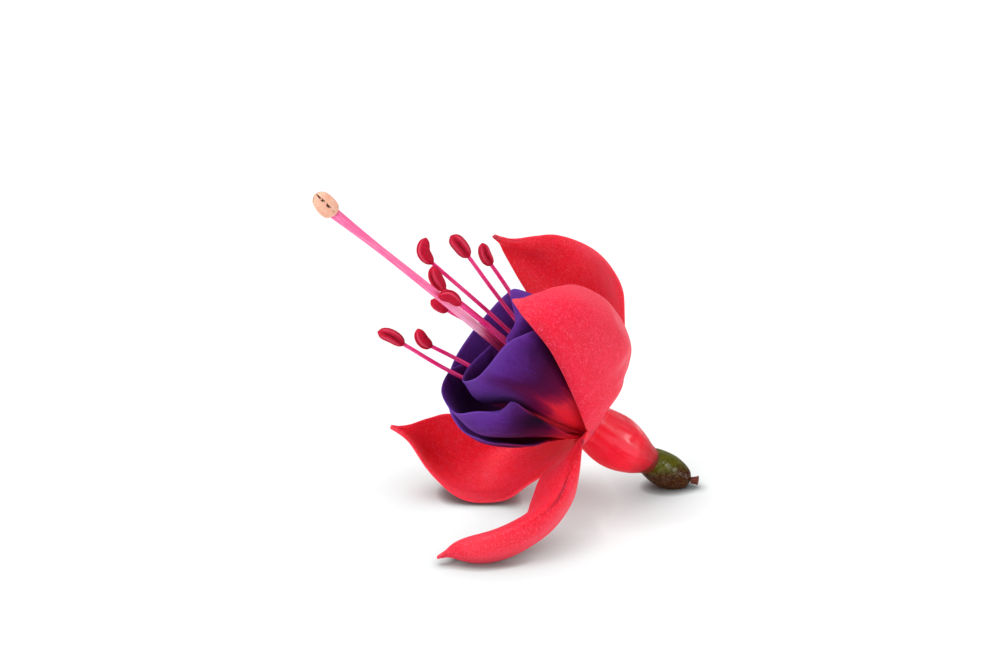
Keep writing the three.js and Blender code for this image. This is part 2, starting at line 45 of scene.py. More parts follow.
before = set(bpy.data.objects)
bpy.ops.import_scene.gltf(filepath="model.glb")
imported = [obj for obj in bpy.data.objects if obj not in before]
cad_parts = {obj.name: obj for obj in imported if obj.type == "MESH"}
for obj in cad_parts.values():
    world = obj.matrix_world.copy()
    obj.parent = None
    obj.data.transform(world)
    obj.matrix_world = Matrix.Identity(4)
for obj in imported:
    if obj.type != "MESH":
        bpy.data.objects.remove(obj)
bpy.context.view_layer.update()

# ---- driving dimensions
MM = 0.001
TIP_BACK = math.radians(68)
THROAT_PLACE = np.array([12.72, 2.401, 13.0])  # the middle of the throat in the part, in mm
REST_SOFTNESS = 0.08  # how near the surface a point is when it starts to be held off it, in mm


def unit(vectors):
    """Each vector divided by its length."""
    return vectors / np.linalg.norm(vectors, axis=-1, keepdims=True)


# ---- throat frame
THROAT_NORMAL = unit(np.array([-0.78, 0.52, 0.25]))
TOWARDS_VIEWER = np.array([0.0, 0.0, 1.0])
THROAT_NEAR = unit(TOWARDS_VIEWER - (TOWARDS_VIEWER @ THROAT_NORMAL) * THROAT_NORMAL)
THROAT_UP = np.cross(THROAT_NORMAL, THROAT_NEAR)


def throat_arc(turns, radius, height):
    """Points round the throat: radius · (cos turn · up + sin turn · near) + height · normal."""
    turns = np.radians(np.asarray(turns, float))[..., None]
    ring = np.cos(turns) * THROAT_UP + np.sin(turns) * THROAT_NEAR
    return radius * ring + height * THROAT_NORMAL


def placed(points):
    """Points of the bloom frame turned about x by the tip-back angle, moved to the throat's place
    and given in metres. Nothing goes through the surface that the flower lies on."""
    x, y, z = np.moveaxis(points, -1, 0)
    cosine, sine = math.cos(TIP_BACK), math.sin(TIP_BACK)
    turned = np.stack([x, y * cosine - z * sine, y * sine + z * cosine], -1) + THROAT_PLACE
    height = turned[..., 2]
    turned[..., 2] = 0.5 * (height + np.sqrt(height**2 + REST_SOFTNESS**2))
    return turned * MM


# ---- surfaces
def smooth_line(points, places):
    """The curve through the points, at places from 0 to 1. Each span is the cubic whose slope at a
    point is half the step between the point's neighbours."""
    points = np.asarray(points, float)
    spans = len(points) - 1
    before, after = 2 * points[0] - points[1], 2 * points[-1] - points[-2]
    padded = np.concatenate([[before], points, [after]])
    reach = np.clip(places, 0, 1) * spans
    first = np.minimum(reach.astype(int), spans - 1)
    t = (reach - first).reshape((-1,) + (1,) * (points.ndim - 1))
    a, b, c, d = (padded[first + step] for step in range(4))
    return b + 0.5 * t * (c - a + t * (2 * a - 5 * b + 4 * c - d + t * (3 * (b - c) + d - a)))


def smooth_net(net, along, across):
    """The surface through a net of points: smooth lines down its columns, then across its rows."""
    columns = smooth_line(net, along)
    return np.moveaxis(smooth_line(np.moveaxis(columns, 1, 0), across), 0, 1)


def eased(grid, passes):
    """A grid whose inner points move half way to the mean of their four neighbours, some times."""
    for _ in range(passes):
        mean = (grid[2:, 1:-1] + grid[:-2, 1:-1] + grid[1:-1, 2:] + grid[1:-1, :-2]) / 4
        grid = grid.copy()
        grid[1:-1, 1:-1] += 0.5 * (mean - grid[1:-1, 1:-1])
    return grid


def grid_normals(grid):
    """Unit normals of a grid of points: the step along it crossed with the step across it."""
    return unit(np.cross(np.gradient(grid, axis=0), np.gradient(grid, axis=1)))


def run_length(grid, axis):
    """The distance walked from the first point of each line of the grid, along one axis."""
    steps = np.linalg.norm(np.diff(grid, axis=axis), axis=-1)
    start = np.zeros_like(np.take(steps, [0], axis))
    return np.concatenate([start, np.cumsum(steps, axis)], axis)


RIPPLE_WAVES = 7
RIPPLE_PITCH = (0.6, 1.6)  # least and most radians to a unit of the coordinates


def ripples(first, second, seed):
    """A gentle uneven swell between about -1 and 1: a sum of sine waves of random direction and
    phase over two coordinates."""
    draw = np.random.default_rng(seed)
    turn, phase = draw.uniform(0, 2 * math.pi, (2, RIPPLE_WAVES))
    pitch = draw.uniform(*RIPPLE_PITCH, RIPPLE_WAVES)
    total = sum(
        np.sin(p * (math.cos(t) * first + math.sin(t) * second) + q)
        for p, t, q in zip(pitch, turn, phase)
    )
    return total / math.sqrt(RIPPLE_WAVES)


# ---- shader values
class Value:
    """A socket of a shader that takes part in sums as a number does."""

    def __init__(self, skin, socket):
        self.skin = skin
        self.socket = socket

    def _sum(self, operation, *terms):
        values = dict(enumerate(terms))
        return self.skin.node("ShaderNodeMath", {"operation": operation}, values)

    def __add__(self, other):
        return self._sum("ADD", self, other)

    __radd__ = __add__

    def __sub__(self, other):
        return self._sum("SUBTRACT", self, other)

    def __rsub__(self, other):
        return self._sum("SUBTRACT", other, self)

    def __mul__(self, other):
        return self._sum("MULTIPLY", self, other)

    __rmul__ = __mul__

    def __pow__(self, other):
        return self._sum("POWER", self, other)

    def __abs__(self):
        return self._sum("ABSOLUTE", self)


class Skin:
    """A material under construction: one surface shader, the nodes that feed it, and the face, the
    colour so far, over which the next colour is laid."""

    def __init__(self, name, face=None, **constants):
        self.face = face
        self.material = bpy.data.materials.new(name)
        self.material.use_nodes = True
        self.tree = self.material.node_tree
        self.surface = self.tree.nodes["Principled BSDF"]
        for socket, value in constants.items():
            self.surface.inputs[socket.replace("_", " ")].default_value = value

    def node(self, kind, settings=None, values=None, output=0):
        """Adds a node: its settings first, then the value or link of each socket that is named."""
        made = self.tree.nodes.new(kind)
        for setting, value in (settings or {}).items():
            if setting == "stops":
                self._set_stops(made.color_ramp, value)
            else:
                setattr(made, setting, value)
        for key, value in (values or {}).items():
            self.feed(made.inputs[key], value)
        return Value(self, made.outputs[output])

    def _set_stops(self, ramp, stops):
        while len(ramp.elements) < len(stops):
            ramp.elements.new(1.0)
        for element, (position, colour) in zip(ramp.elements, stops):
            element.position = position
            element.color = (*colour, 1.0)

    def feed(self, socket, value):
        """Links a value to a socket, or sets the socket to a number or colour."""
        if isinstance(value, Value):
            self.tree.links.new(value.socket, socket)
        elif socket.type == "RGBA":
            socket.default_value = (*value[:3], 1.0)
        else:
            socket.default_value = value

    def lay(self, factor, colour):
        """Lays a colour over the face, as strongly as the factor says."""
        self.face = self.mix(factor, self.face, colour)

    def finished(self, **inputs):
        """The material, with the face and all else that varies over the piece fed to its shader."""
        for name, value in {"Base_Color": self.face, **inputs}.items():
            self.feed(self.surface.inputs[name.replace("_", " ")], value)
        return self.material

    def spot(self):
        """The place on the object, in millimetres."""
        place = self.node("ShaderNodeTexCoord", output="Object")
        return self.scaled(place, (1000.0, 1000.0, 1000.0))

    def attribute(self, name, output="Fac"):
        return self.node("ShaderNodeAttribute", {"attribute_name": name}, output=output)

    def part(self, vector, axis):
        return self.node("ShaderNodeSeparateXYZ", None, {0: vector}, axis)

    def scaled(self, vector, factors):
        settings = {"operation": "MULTIPLY"}
        return self.node("ShaderNodeVectorMath", settings, {0: vector, 1: factors})

    def noise(self, vector, scale, detail, roughness=0.5):
        """A cloudy value round a half; over a spot, the scale is in waves to a millimetre."""
        values = {"Vector": vector, "Scale": scale, "Detail": detail, "Roughness": roughness}
        return self.node("ShaderNodeTexNoise", {"noise_dimensions": "3D"}, values, "Fac")

    def cells(self, vector, scale):
        """The distance to the middle of the nearest of many scattered cells, in cells."""
        values = {"Vector": vector, "Scale": scale}
        return self.node("ShaderNodeTexVoronoi", {"feature": "F1"}, values, "Distance")

    def step(self, value, low, high):
        """0 below low and 1 above high, with a smooth change between; low may be above high."""
        settings = {"interpolation_type": "SMOOTHSTEP"}
        flip = low > high
        low, high = min(low, high), max(low, high)
        values = {"Value": value, "From Min": low, "From Max": high}
        values |= {"To Min": float(flip), "To Max": float(not flip)}
        return self.node("ShaderNodeMapRange", settings, values)

    def step_line(self, value, low, high):
        """0 below low and 1 above high, with an even change between."""
        values = {"Value": value, "From Min": low, "From Max": high}
        return self.node("ShaderNodeMapRange", None, values)

    def mix(self, factor, first, second):
        settings = {"data_type": "RGBA", "clamp_factor": True}
        return self.node("ShaderNodeMix", settings, {0: factor, 6: first, 7: second}, 2)

    def ramp(self, value, stops):
        return self.node("ShaderNodeValToRGB", {"stops": stops}, {"Fac": value}, "Color")

    def bump(self, height, depth, strength, below=None):
        """A bump of a given depth in millimetres, on top of another bump if one is given."""
        values = {"Height": height, "Distance": depth * MM, "Strength": strength}
        if below is not None:
            values["Normal"] = below
        return self.node("ShaderNodeBump", None, values, "Normal")


def srgb(red, green, blue):
    """A colour given as screen values from 0 to 255, as linear values from 0 to 1."""
    shares = np.array([red, green, blue]) / 255
    linear = np.where(shares <= 0.04045, shares / 12.92, ((shares + 0.055) / 1.055) ** 2.4)
    return tuple(float(value) for value in linear)


def colour_property(name, description, red, green, blue):
    return bpy.props.FloatVectorProperty(
        name=name, description=description, default=srgb(red, green, blue),
        subtype="COLOR", size=3, min=0.0, max=1.0,
    )


def number_property(name, description, default, **settings):
    return bpy.props.FloatProperty(name=name, description=description, default=default, **settings)


def length_property(name, description, millimetres):
    return number_property(name, description, millimetres, min=0.01, precision=3)


# ---- settings
class FuchsiaSizes(bpy.types.PropertyGroup):
    """The sizes of the flower that can be changed without a new net, in millimetres."""

    sepal_thickness: length_property("Sepal", "Thickness of a sepal in its middle, in mm", 0.8)
    petal_thickness: length_property("Petal", "Thickness of a petal in its middle, in mm", 0.5)
    rim_radius: length_property("Rim", "How far in from its edge a blade is rounded, in mm", 0.45)
    filament_radius: length_property("Filament", "Radius of a filament, in mm", 0.34)


class FuchsiaColours(bpy.types.PropertyGroup):
    """The main colours of the flower."""

    sepal_outside: colour_property("Sepal outside", "Outer face of the sepals", 244, 24, 60)
    sepal_inside: colour_property("Sepal inside", "Inner face of the sepals", 250, 26, 52)
    tube: colour_property("Tube", "The floral tube", 248, 26, 50)
    petal: colour_property("Petal", "The petals near their rim", 90, 43, 138)
    petal_base: colour_property("Petal base", "The petals where they leave the throat", 222, 30, 44)
    filament: colour_property("Filament", "The stalks of the stamens", 238, 30, 122)
    anther: colour_property("Anther", "The pollen sacs", 198, 10, 48)
    style: colour_property("Style", "The style away from its base", 252, 104, 164)
    stigma: colour_property("Stigma", "The tip of the style", 242, 180, 152)
    ovary_top: colour_property("Ovary top", "The lit side of the ovary", 86, 86, 4)
    ovary_belly: colour_property("Ovary belly", "The side of the ovary that rests", 68, 31, 8)
    stalk: colour_property("Stalk", "The cut end of the stalk", 122, 60, 46)


class FuchsiaStage(bpy.types.PropertyGroup):
    """The view and the light."""

    view_height: number_property("View height", "Angle of the view above level",
                                 math.radians(22), subtype="ANGLE")
    view_distance: number_property("View distance", "Camera to flower", 0.444, unit="LENGTH")
    key_light: number_property("Key light", "Strength of the light from above left", 1.42)
    left_light: number_property("Left light", "Strength of the light from the front left", 1.55)
    right_light: number_property("Right light", "Strength of the light from the front right", 0.75)
    glints: number_property("Glints", "Strength of the two small lamps for highlights", 0.55)
    back_light: number_property("Back light", "Strength of the light from behind", 0.50)
    floor_glow: number_property("Floor glow", "Light that the white floor adds of its own", 0.72)
    sky: number_property("Sky", "Brightness of the even light from all round", 0.30)


# ---- making pieces
def make_piece(name, vertices, faces, attributes, material, slot, *nodes):
    """A mesh that stands for CAD nodes and rides on the flower, its attributes kept by point."""
    mesh = bpy.data.meshes.new(name)
    mesh.from_pydata(placed(vertices).tolist(), [], faces)
    for attribute, values in attributes.items():
        kind = "FLOAT_VECTOR" if values.ndim == 2 else "FLOAT"
        key = "vector" if values.ndim == 2 else "value"
        made = mesh.attributes.new(attribute, kind, "POINT")
        made.data.foreach_set(key, np.ascontiguousarray(values, np.float32).ravel())
    mesh.shade_smooth()
    mesh.materials.append(material)
    mesh.validate()
    piece = bpy.data.objects.new(name, mesh)
    bpy.context.scene.collection.objects.link(piece)
    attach(piece, "root")
    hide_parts(*nodes)


def grid_quads(index):
    """The four corners of every cell of a grid of vertex numbers, first across and then along."""
    cells = [index[:-1, :-1], index[:-1, 1:], index[1:, 1:], index[1:, :-1]]
    return np.stack(cells, -1).reshape(-1, 4)


# ---- blades
BLADE_ALONG = 113  # points along and across each face of a blade
BLADE_ACROSS = 89
NET_ALONG = 57  # points of the even grid that a blade is eased on
NET_ACROSS = 41
EASING = 8
FOOT_ROW = 6  # the row of a blade whose middle tells which way it faces
# All of these are in mm, apart from the two shares of the thickness and the paleness of the tip.
FOOT_CALM = 8  # how far from its foot a blade's swells and frills come to their full size
FOLD_CALM = 5
EDGE_REACH = 1.5  # how far in from the edge its frills reach and its folds stay away
SWELL_ACROSS, SWELL_ALONG = 2.6, 3.2  # one unit of the ripples that make the swells
RIM_SHARE, BODY_SHARE = 0.55, 0.45  # thickness just inside the rim, and what the body adds to it
BODY_REACH = 3
TIP_PALENESS, TIP_REACH = 0.4, 1.6


def split_at(quads, corners):
    """The quads as a list of faces, with each that has a corner of the grid cut in two through that
    corner, so that the two faces of a blade share no triangle there."""
    marks = np.isin(quads, corners)
    at_corner = marks.any(1)
    turned = np.array([np.roll(quad, -np.argmax(mark))
                       for quad, mark in zip(quads[at_corner], marks[at_corner])])
    halves = [*turned[:, :3].tolist(), *turned[:, [0, 2, 3]].tolist()]
    return quads[~at_corner].tolist() + halves


def swell_by(blade, size, seed):
    """A low uneven swell over the blade that grows from nothing at the foot."""
    across, along = blade["across"], blade["along"]
    swell = ripples(across / SWELL_ACROSS, along / SWELL_ALONG, seed)
    return size * swell * np.clip(along / FOOT_CALM, 0, 1)


def frill_by(blade, size, seed):
    """Waves along the edge that die away in from it."""
    waves = ripples(blade["along"] / EDGE_REACH, blade["across"] / EDGE_REACH, seed)
    near_edge = np.exp(-blade["margin"] / EDGE_REACH)
    return size * waves * near_edge * np.clip(blade["along"] / FOOT_CALM, 0, 1)


def fold_by(blade, size, middle, width):
    """A ridge or crease along the blade: a narrow bell across it."""
    bell = np.exp(-(((blade["across"] - middle) / width) ** 2))
    off_foot = np.clip(blade["along"] / FOLD_CALM, 0, 1)
    return size * bell * off_foot * np.clip(blade["margin"] / EDGE_REACH, 0, 1)


def dent_by(blade, depth, across, along, wide, long):
    """A dent or a bulge: a bell across and along the blade round one place of it, all in mm."""
    apart = np.hypot((blade["across"] - across) / wide, (blade["along"] - along) / long)
    return depth * np.exp(-(apart**2))


def pale_tip_and_painted_light(painted_light_bells, blade, side):
    """How much lighter (above 0) or darker (below 0) one face of a blade is, place by place: the
    sum of bells of painted light and shade across and along it, each given as side, amount,
    across, along, wide and long, and a pale tip on both faces."""
    from_tip = blade["along"][-1:] - blade["along"]
    tint = TIP_PALENESS * np.exp(-((from_tip / TIP_REACH) ** 2))
    for face, amount, *place in painted_light_bells:
        if face == side:
            tint = tint + dent_by(blade, amount, *place)
    return tint


def measure(middle):
    """The distances over a blade: from its middle line, from its foot and from its nearest edge."""
    across = run_length(middle, 1)
    along = run_length(middle, 0)
    width, length = across[:, -1:], along[-1:]
    margin = np.minimum(np.minimum(across, width - across), length - along)
    return {"across": across - width / 2, "along": along, "margin": margin}


def middle_surface(net):
    """A blade's middle: the eased net, with points closer together towards its edges and tip."""
    even = smooth_net(net, np.linspace(0, 1, NET_ALONG), np.linspace(0, 1, NET_ACROSS))
    along = np.sin(np.linspace(0, math.pi / 2, BLADE_ALONG))
    return smooth_net(eased(even, EASING), along, end_places(BLADE_ACROSS))


def way_out(middle, normals):
    """1 if a blade's normals point away from the flower's axis near its foot, -1 if they don't."""
    foot = middle[FOOT_ROW, BLADE_ACROSS // 2]
    outward = unit(foot - (foot @ THROAT_NORMAL) * THROAT_NORMAL) - THROAT_NORMAL
    return np.sign(normals[FOOT_ROW, BLADE_ACROSS // 2] @ outward)


def half_thickness(blade, thickness, rim_radius):
    """That of a round rim near the edge, growing a little further in, and nothing at the foot."""
    near_rim = 1 - np.clip(blade["margin"] / rim_radius, 0, 1)
    body = RIM_SHARE + BODY_SHARE * np.clip(blade["margin"] / BODY_REACH, 0, 1)
    half = 0.5 * thickness * body * np.sqrt(1 - near_rim**2)
    half[0] = 0
    return half


def make_blade(node, slot, material, net, thickness, rim_radius, shapes, painted_light_bells, flame):
    """A closed thin blade: a smooth surface through a net, shaped, and given half its thickness on
    each side, so that both faces meet in the border. The place on it, the distance from its edge,
    the pale tip with the painted light and shade of both faces and, if it has a flame, how far the
    flame lets its colours run are kept for its material."""
    middle = middle_surface(net)
    normals = grid_normals(middle)
    faces_out = way_out(middle, normals)
    blade = measure(middle)
    lift = sum((shape(blade, *values) for shape, *values in shapes), np.zeros(normals.shape[:2]))
    middle = middle + (faces_out * lift)[..., None] * normals
    blade = measure(middle)
    offset = half_thickness(blade, thickness, rim_radius)[..., None] * grid_normals(middle)
    inner = np.s_[1:-1, 1:-1]
    front = np.arange(lift.size).reshape(lift.shape)
    back = front.copy()
    back[inner] = front.size + np.arange(back[inner].size).reshape(back[inner].shape)

    def both(on_front, on_back):
        """The values of the front, then those of the back inside the border that they share."""
        inside = on_back[inner].reshape(back[inner].size, -1)
        return np.concatenate([on_front.reshape(front.size, -1), inside])

    side = np.full(front.shape, 0.5 - 0.5 * faces_out)
    side[[0, -1]] = side[:, [0, -1]] = 0.5
    leaves = [np.stack([blade["across"], blade["along"], face], -1) for face in (side, 1 - side)]
    front_side = 0 if faces_out > 0 else 1
    faces_tip_and_painted_light = [pale_tip_and_painted_light(painted_light_bells, blade, face) for face in (front_side, 1 - front_side)]
    attributes = {
        "leaf": both(*leaves),
        "margin": both(blade["margin"], blade["margin"])[:, 0],
        "tint": both(*faces_tip_and_painted_light)[:, 0],
    }
    if flame is not None:
        reach = flame_reach(blade, *flame)
        attributes["reach"] = both(reach, reach)[:, 0]
    corners = front[[0, 0, -1, -1], [0, -1, 0, -1]]
    faces = split_at(np.concatenate([grid_quads(front)[:, ::-1], grid_quads(back)]), corners)
    vertices = both(middle + offset, middle - offset)
    make_piece(f"{node}_blade", vertices, faces, attributes, material, slot, node)


def make_blades(slot, material, thickness, rim_radius, nets, root, ring, shapes, painted_light_bells, flames):
    """The blades that grow in one ring. A net is an arc of the throat, in degrees, and rows of
    points from the foot to the tip, each row as x, y and z of one point after the other. The foot
    stands on the arc at the radius and height of the root and then of the ring."""
    for node, (arc, rows) in nets.items():
        points = np.array(rows, float).reshape(len(rows), -1, 3)
        turns = np.linspace(*arc, points.shape[1])
        net = np.concatenate([[throat_arc(turns, *root), throat_arc(turns, *ring)], points])
        make_blade(node, slot, material, net, thickness, rim_radius, shapes[node], painted_light_bells[node],
                   flames.get(node))


# ---- round pieces
BLUNT_END = 0.05  # share of the radius where a round piece closes, so that no face is empty


def ring_turns(sides):
    return np.linspace(0, 2 * math.pi, sides, endpoint=False)


def ring_points(line, across, side, radii):
    """Rings round a line: line + radius · (cos turn · across + sin turn · side)."""
    turn = ring_turns(radii.shape[1])[None, :, None]
    spokes = np.cos(turn) * across[:, None] + np.sin(turn) * side[:, None]
    return line[:, None] + radii[..., None] * spokes


def rings_along(line, radii, facing):
    """Rings square to a line, whose turn starts at the facing direction made square to the line."""
    tangent = unit(np.gradient(line, axis=0))
    across = unit(facing - (tangent @ facing)[:, None] * tangent)
    return ring_points(line, across, np.cross(tangent, across), radii)


def ring_values(shape, along):
    """What a round piece's patterns read: cosine and sine of the turn, and millimetres along."""
    turn = ring_turns(shape[1])
    parts = (np.cos(turn), np.sin(turn), along[:, None])
    return np.stack([np.broadcast_to(part, shape) for part in parts], -1)


def ring_ripples(turn, pitch, seed, drift=0):
    """Ripples round a piece that meet where the turn closes, and change as the drift grows."""
    return ripples(pitch * np.cos(turn), pitch * np.sin(turn) + drift, seed)


def stations(values, places):
    """A value read from even stations along a piece, on the smooth curve through them."""
    return smooth_line(np.asarray(values, float)[:, None], places)[:, 0]


def make_round(name, slot, material, line, radii, facing, node, **extra):
    """A closed round piece: a skin from ring to ring along a line, with a fan at each end. An extra
    attribute is given by its values over the rings and by those at the middles of the ends."""
    rings = rings_along(line, radii, facing)
    index = np.arange(radii.size).reshape(radii.shape)
    wrapped = np.concatenate([index, index[:, :1]], 1)
    first, last = wrapped[0], wrapped[-1]
    start, end = (np.full(index.shape[1], pole) for pole in (index.size, index.size + 1))
    fans = [np.stack([start, first[1:], first[:-1]], -1), np.stack([end, last[:-1], last[1:]], -1)]
    faces = grid_quads(wrapped).tolist() + fans[0].tolist() + fans[1].tolist()
    poles = np.stack([rings[0].mean(0), rings[-1].mean(0)])
    vertices = np.concatenate([rings.reshape(-1, 3), poles])
    along = run_length(line[:, None], 0)[:, 0]
    pole_values = [[0, 0, along[0]], [0, 0, along[-1]]]
    values = ring_values(radii.shape, along).reshape(-1, 3)
    attributes = {"round": np.concatenate([values, pole_values])}
    for attribute, (on_rings, on_poles) in extra.items():
        attributes[attribute] = np.concatenate([on_rings.ravel(), on_poles])
    make_piece(name, vertices, faces, attributes, material, slot, node)


def end_places(count):
    """Places from 0 to 1 that lie closer together towards both ends."""
    return 0.5 - 0.5 * np.cos(np.linspace(0, math.pi, count))


def rounded_ends(places, share):
    """A factor on the radius that closes both ends in a round: the height of a quarter circle
    over the given share of the length, down to a small blunt end."""
    inset = 1 - np.clip(np.minimum(places, 1 - places) / share, 0, 1)
    return np.maximum(np.sqrt(1 - inset**2), BLUNT_END)


# ---- sepals
SEPAL_NETS = {
    "sepal_near_up": ((-3, 97), [
        [1.85, 4.4, 0.7, 1.5, 3.2, 3.8, 0.6, 2.1, 5.6, -0.4, 1, 6.4, -1.4, -0.25, 6.2],
        [3.8, 6.4, 0, 3.2, 6, 5, 1.1, 5.3, 8.5, -1.3, 4.1, 9.9, -2.8, 3, 9.6],
        [5.5, 10.2, -1.5, 4.5, 10.3, 6, 1.3, 9.9, 11.5, -2.5, 8.2, 13.9, -4.8, 7.4, 13],
        [5.7, 13.9, -2.5, 4.3, 14.7, 6.5, 0.8, 15, 13.5, -4.1, 13.3, 17, -7.2, 12.1, 16.2],
        [2.9, 19, -0.5, 1.3, 19.8, 7, -2.3, 19.7, 14, -7.1, 17.7, 17.9, -10.1, 15.8, 17.7],
        [-3.5, 22.8, 6, -4.7, 22.5, 10.5, -7.2, 21.5, 14.5, -9.7, 19.8, 17, -11.7, 17.7, 17.5],
        [-10.1, 20.7, 13.5, -10.4, 20.4, 15, -11, 20, 16.2, -11.7, 19.5, 17, -12.4, 18.7, 17.3],
        [-13.3, 20.4, 15.5, -13.3, 20.4, 15.7, -13.3, 20.3, 15.9,
         -13.3, 20.2, 16.1, -13.4, 20.1, 16.3],
    ]),
    "sepal_far_up": ((268, 362), [
        [-2.65, 2, -5.1, -1.4, 3.2, -5.1, -0.2, 3.9, -4.7, 0.7, 4.6, -3, 1.75, 4.5, 0.2],
        [-3.8, 5.3, -7.5, -1.8, 6.6, -8.8, 0.6, 7.7, -9, 2.7, 7.9, -7.2, 3.7, 7.3, -3.5],
        [-5.9, 10.1, -9.5, -2.7, 11.9, -12, 0.9, 12.9, -12.5, 3.6, 12.4, -10.8, 4.6, 11.1, -6.5],
        [-8.2, 15.7, -9, -4.4, 17.7, -12, -0.1, 18.8, -12.5, 3.5, 18.8, -11, 5, 17.3, -7.5],
        [-10.3, 20.7, -6, -6.5, 22.7, -9, -2.3, 24.2, -9.5, 1.8, 24.8, -9, 4.5, 22.7, -7],
        [-12.6, 24.5, -3, -9.7, 26.2, -4.8, -6.1, 27.5, -5, -2.4, 28.5, -5.5, 0.7, 28.3, -6],
        [-14.6, 28, -0.5, -13, 28.7, -1, -11, 29.2, -1.3, -8.6, 30, -2, -6.2, 31, -2.8],
        [-15.4, 29.6, 0.8, -15, 29.7, 0.6, -14.4, 29.9, 0.4, -13.6, 29.9, 0.2, -12.5, 30, 0],
        [-16.3, 30.6, 1.5, -16.25, 30.7, 1.45, -16.2, 30.8, 1.4,
         -16.1, 30.85, 1.35, -16, 30.9, 1.3],
    ]),
    "sepal_far_down": ((178, 272), [
        [-3.85, -3.6, 2.9, -4.15, -3.6, -0.25, -4.3, -2.7, -3.1, -4.2, -0.6, -5.4, -2.9, 1.2, -5.6],
        [-6.7, -6.4, 1, -7.8, -5.9, -2.5, -8.1, -4.3, -6, -7.4, -1.9, -9, -6, 0.3, -9.8],
        [-10.4, -9.1, -1.5, -11.5, -8.1, -5.5, -12.3, -6, -9, -11.9, -3, -12, -10.9, 0.1, -12],
        [-14.7, -11.7, -3.1, -16, -10.2, -7.7, -17.2, -7.6, -11, -17.3, -3.6, -13, -16.8, 0.2, -12],
        [-20.5, -11.8, -3.4, -21.7, -10.2, -7.5, -23.1, -7.2, -10.3,
         -23.4, -2.9, -11.2, -23, 2, -9.9],
        [-25.4, -8.3, -3.6, -26.4, -7, -6.5, -27.1, -4.7, -8.3,
         -27.3, -1.8, -8.5, -26.8, 1.4, -7.5],
        [-29.4, -2.8, -3, -29.7, -2.2, -4.2, -29.9, -1.5, -5, -29.9, -0.5, -5.2, -29.9, 0.4, -4.8],
        [-32.8, 0, -3, -32.9, 0, -3.2, -32.9, 0.1, -3.4, -32.8, 0.2, -3.5, -32.8, 0.3, -3.6],
    ]),
    "sepal_near_down": ((93, 182), [
        [-1.5, -0.35, 6.3, -2.1, -1.2, 6.3, -2.7, -2, 5.8, -3.2, -2.9, 5.1, -3.7, -3.55, 3.7],
        [-2.5, -3, 8, -2.7, -3.2, 8.7, -3.4, -3.6, 8.4, -4.8, -4.5, 7, -6.3, -5.7, 4.5],
        [-3, -7, 9.5, -3.3, -6.8, 11.2, -4.8, -6.9, 11.7, -6.9, -7.5, 9.7, -8.9, -7.8, 6],
        [-4, -11, 10.5, -4.9, -10.4, 13, -6.7, -10.5, 14, -8.8, -11.1, 11.5, -10.3, -11.3, 7],
        [-7.1, -15.4, 13.6, -8.3, -14.3, 16, -9.7, -13.1, 16.5,
         -10.9, -13.2, 13.3, -11.4, -14.3, 8.5],
        [-12.4, -18.8, 15, -13.2, -17.2, 17.5, -14.3, -15.2, 17.8,
         -15.4, -15.2, 14.3, -16, -16.7, 9.5],
        [-17.5, -20.2, 15.2, -18.3, -18.6, 17.8, -19, -16.6, 17.8,
         -20.1, -16.4, 14.8, -20.8, -17.8, 10.5],
        [-20.9, -19.8, 15.7, -21.2, -18.8, 17, -21.8, -17.6, 17.3,
         -22.4, -17.5, 16, -22.8, -18.3, 13.8],
        [-23.2, -19, 16, -23.3, -18.8, 16.5, -23.4, -18.4, 16.7,
         -23.5, -18.4, 16.4, -23.6, -18.6, 15.6],
        [-24.9, -19.6, 16.6, -24.9, -19.5, 16.5, -24.9, -19.4, 16.4,
         -24.9, -19.4, 16.2, -24.9, -19.5, 16],
    ]),
}
SEPAL_SHAPES = {
    "sepal_near_up": [(swell_by, 0.16, 11), (frill_by, 0.10, 12),
                      (dent_by, -1.0, -3.5, 10.6, 4.5, 1.9),
                      (dent_by, -0.40, -4.0, 7.8, 4.0, 1.1),
                      (dent_by, -0.50, -5.5, 17.5, 3.0, 2.4)],
    "sepal_far_up": [(swell_by, 0.18, 21), (frill_by, 0.10, 22), (fold_by, 0.12, 1.0, 1.6)],
    "sepal_far_down": [(swell_by, 0.06, 31), (frill_by, 0.10, 32)],
    "sepal_near_down": [(swell_by, 0.12, 41), (dent_by, 0.30, -2.2, 15.5, 0.45, 6.5),
                        (frill_by, 0.10, 42)],
}
# Painted light and shade on the blades: side (0 outside, 1 inside), amount, and place in mm.
SEPAL_PAINTED_LIGHT = {
    "sepal_near_up": [],
    "sepal_far_up": [(1, 0.8, 6.3, 26.0, 2.4, 9.0), (1, 0.5, 2.0, 45.5, 3.0, 2.5),
                     (1, -0.50, -2.0, 37.5, 4.5, 4.5), (1, 0.1, 2.0, 28.0, 7.0, 9.0)],
    "sepal_far_down": [(1, -0.4, 1.0, 31.0, 5.0, 5.0), (1, 0.3, -6.5, 27.0, 2.0, 6.0),
                       (1, -0.25, -5.6, 22.5, 0.8, 5.5)],
    "sepal_near_down": [(1, 0.4, -5.5, 19.0, 1.6, 7.0), (1, 0.2, -3.0, 31.0, 5.0, 5.0),
                        (1, -0.7, -2.2, 15.5, 0.35, 6.0)],
}
# Radius and height of a sepal's foot, first where it starts inside the rim of the tube.
SEPAL_ROOT = (3.3, 0.4)
SEPAL_RING = (3.7, 1.1)


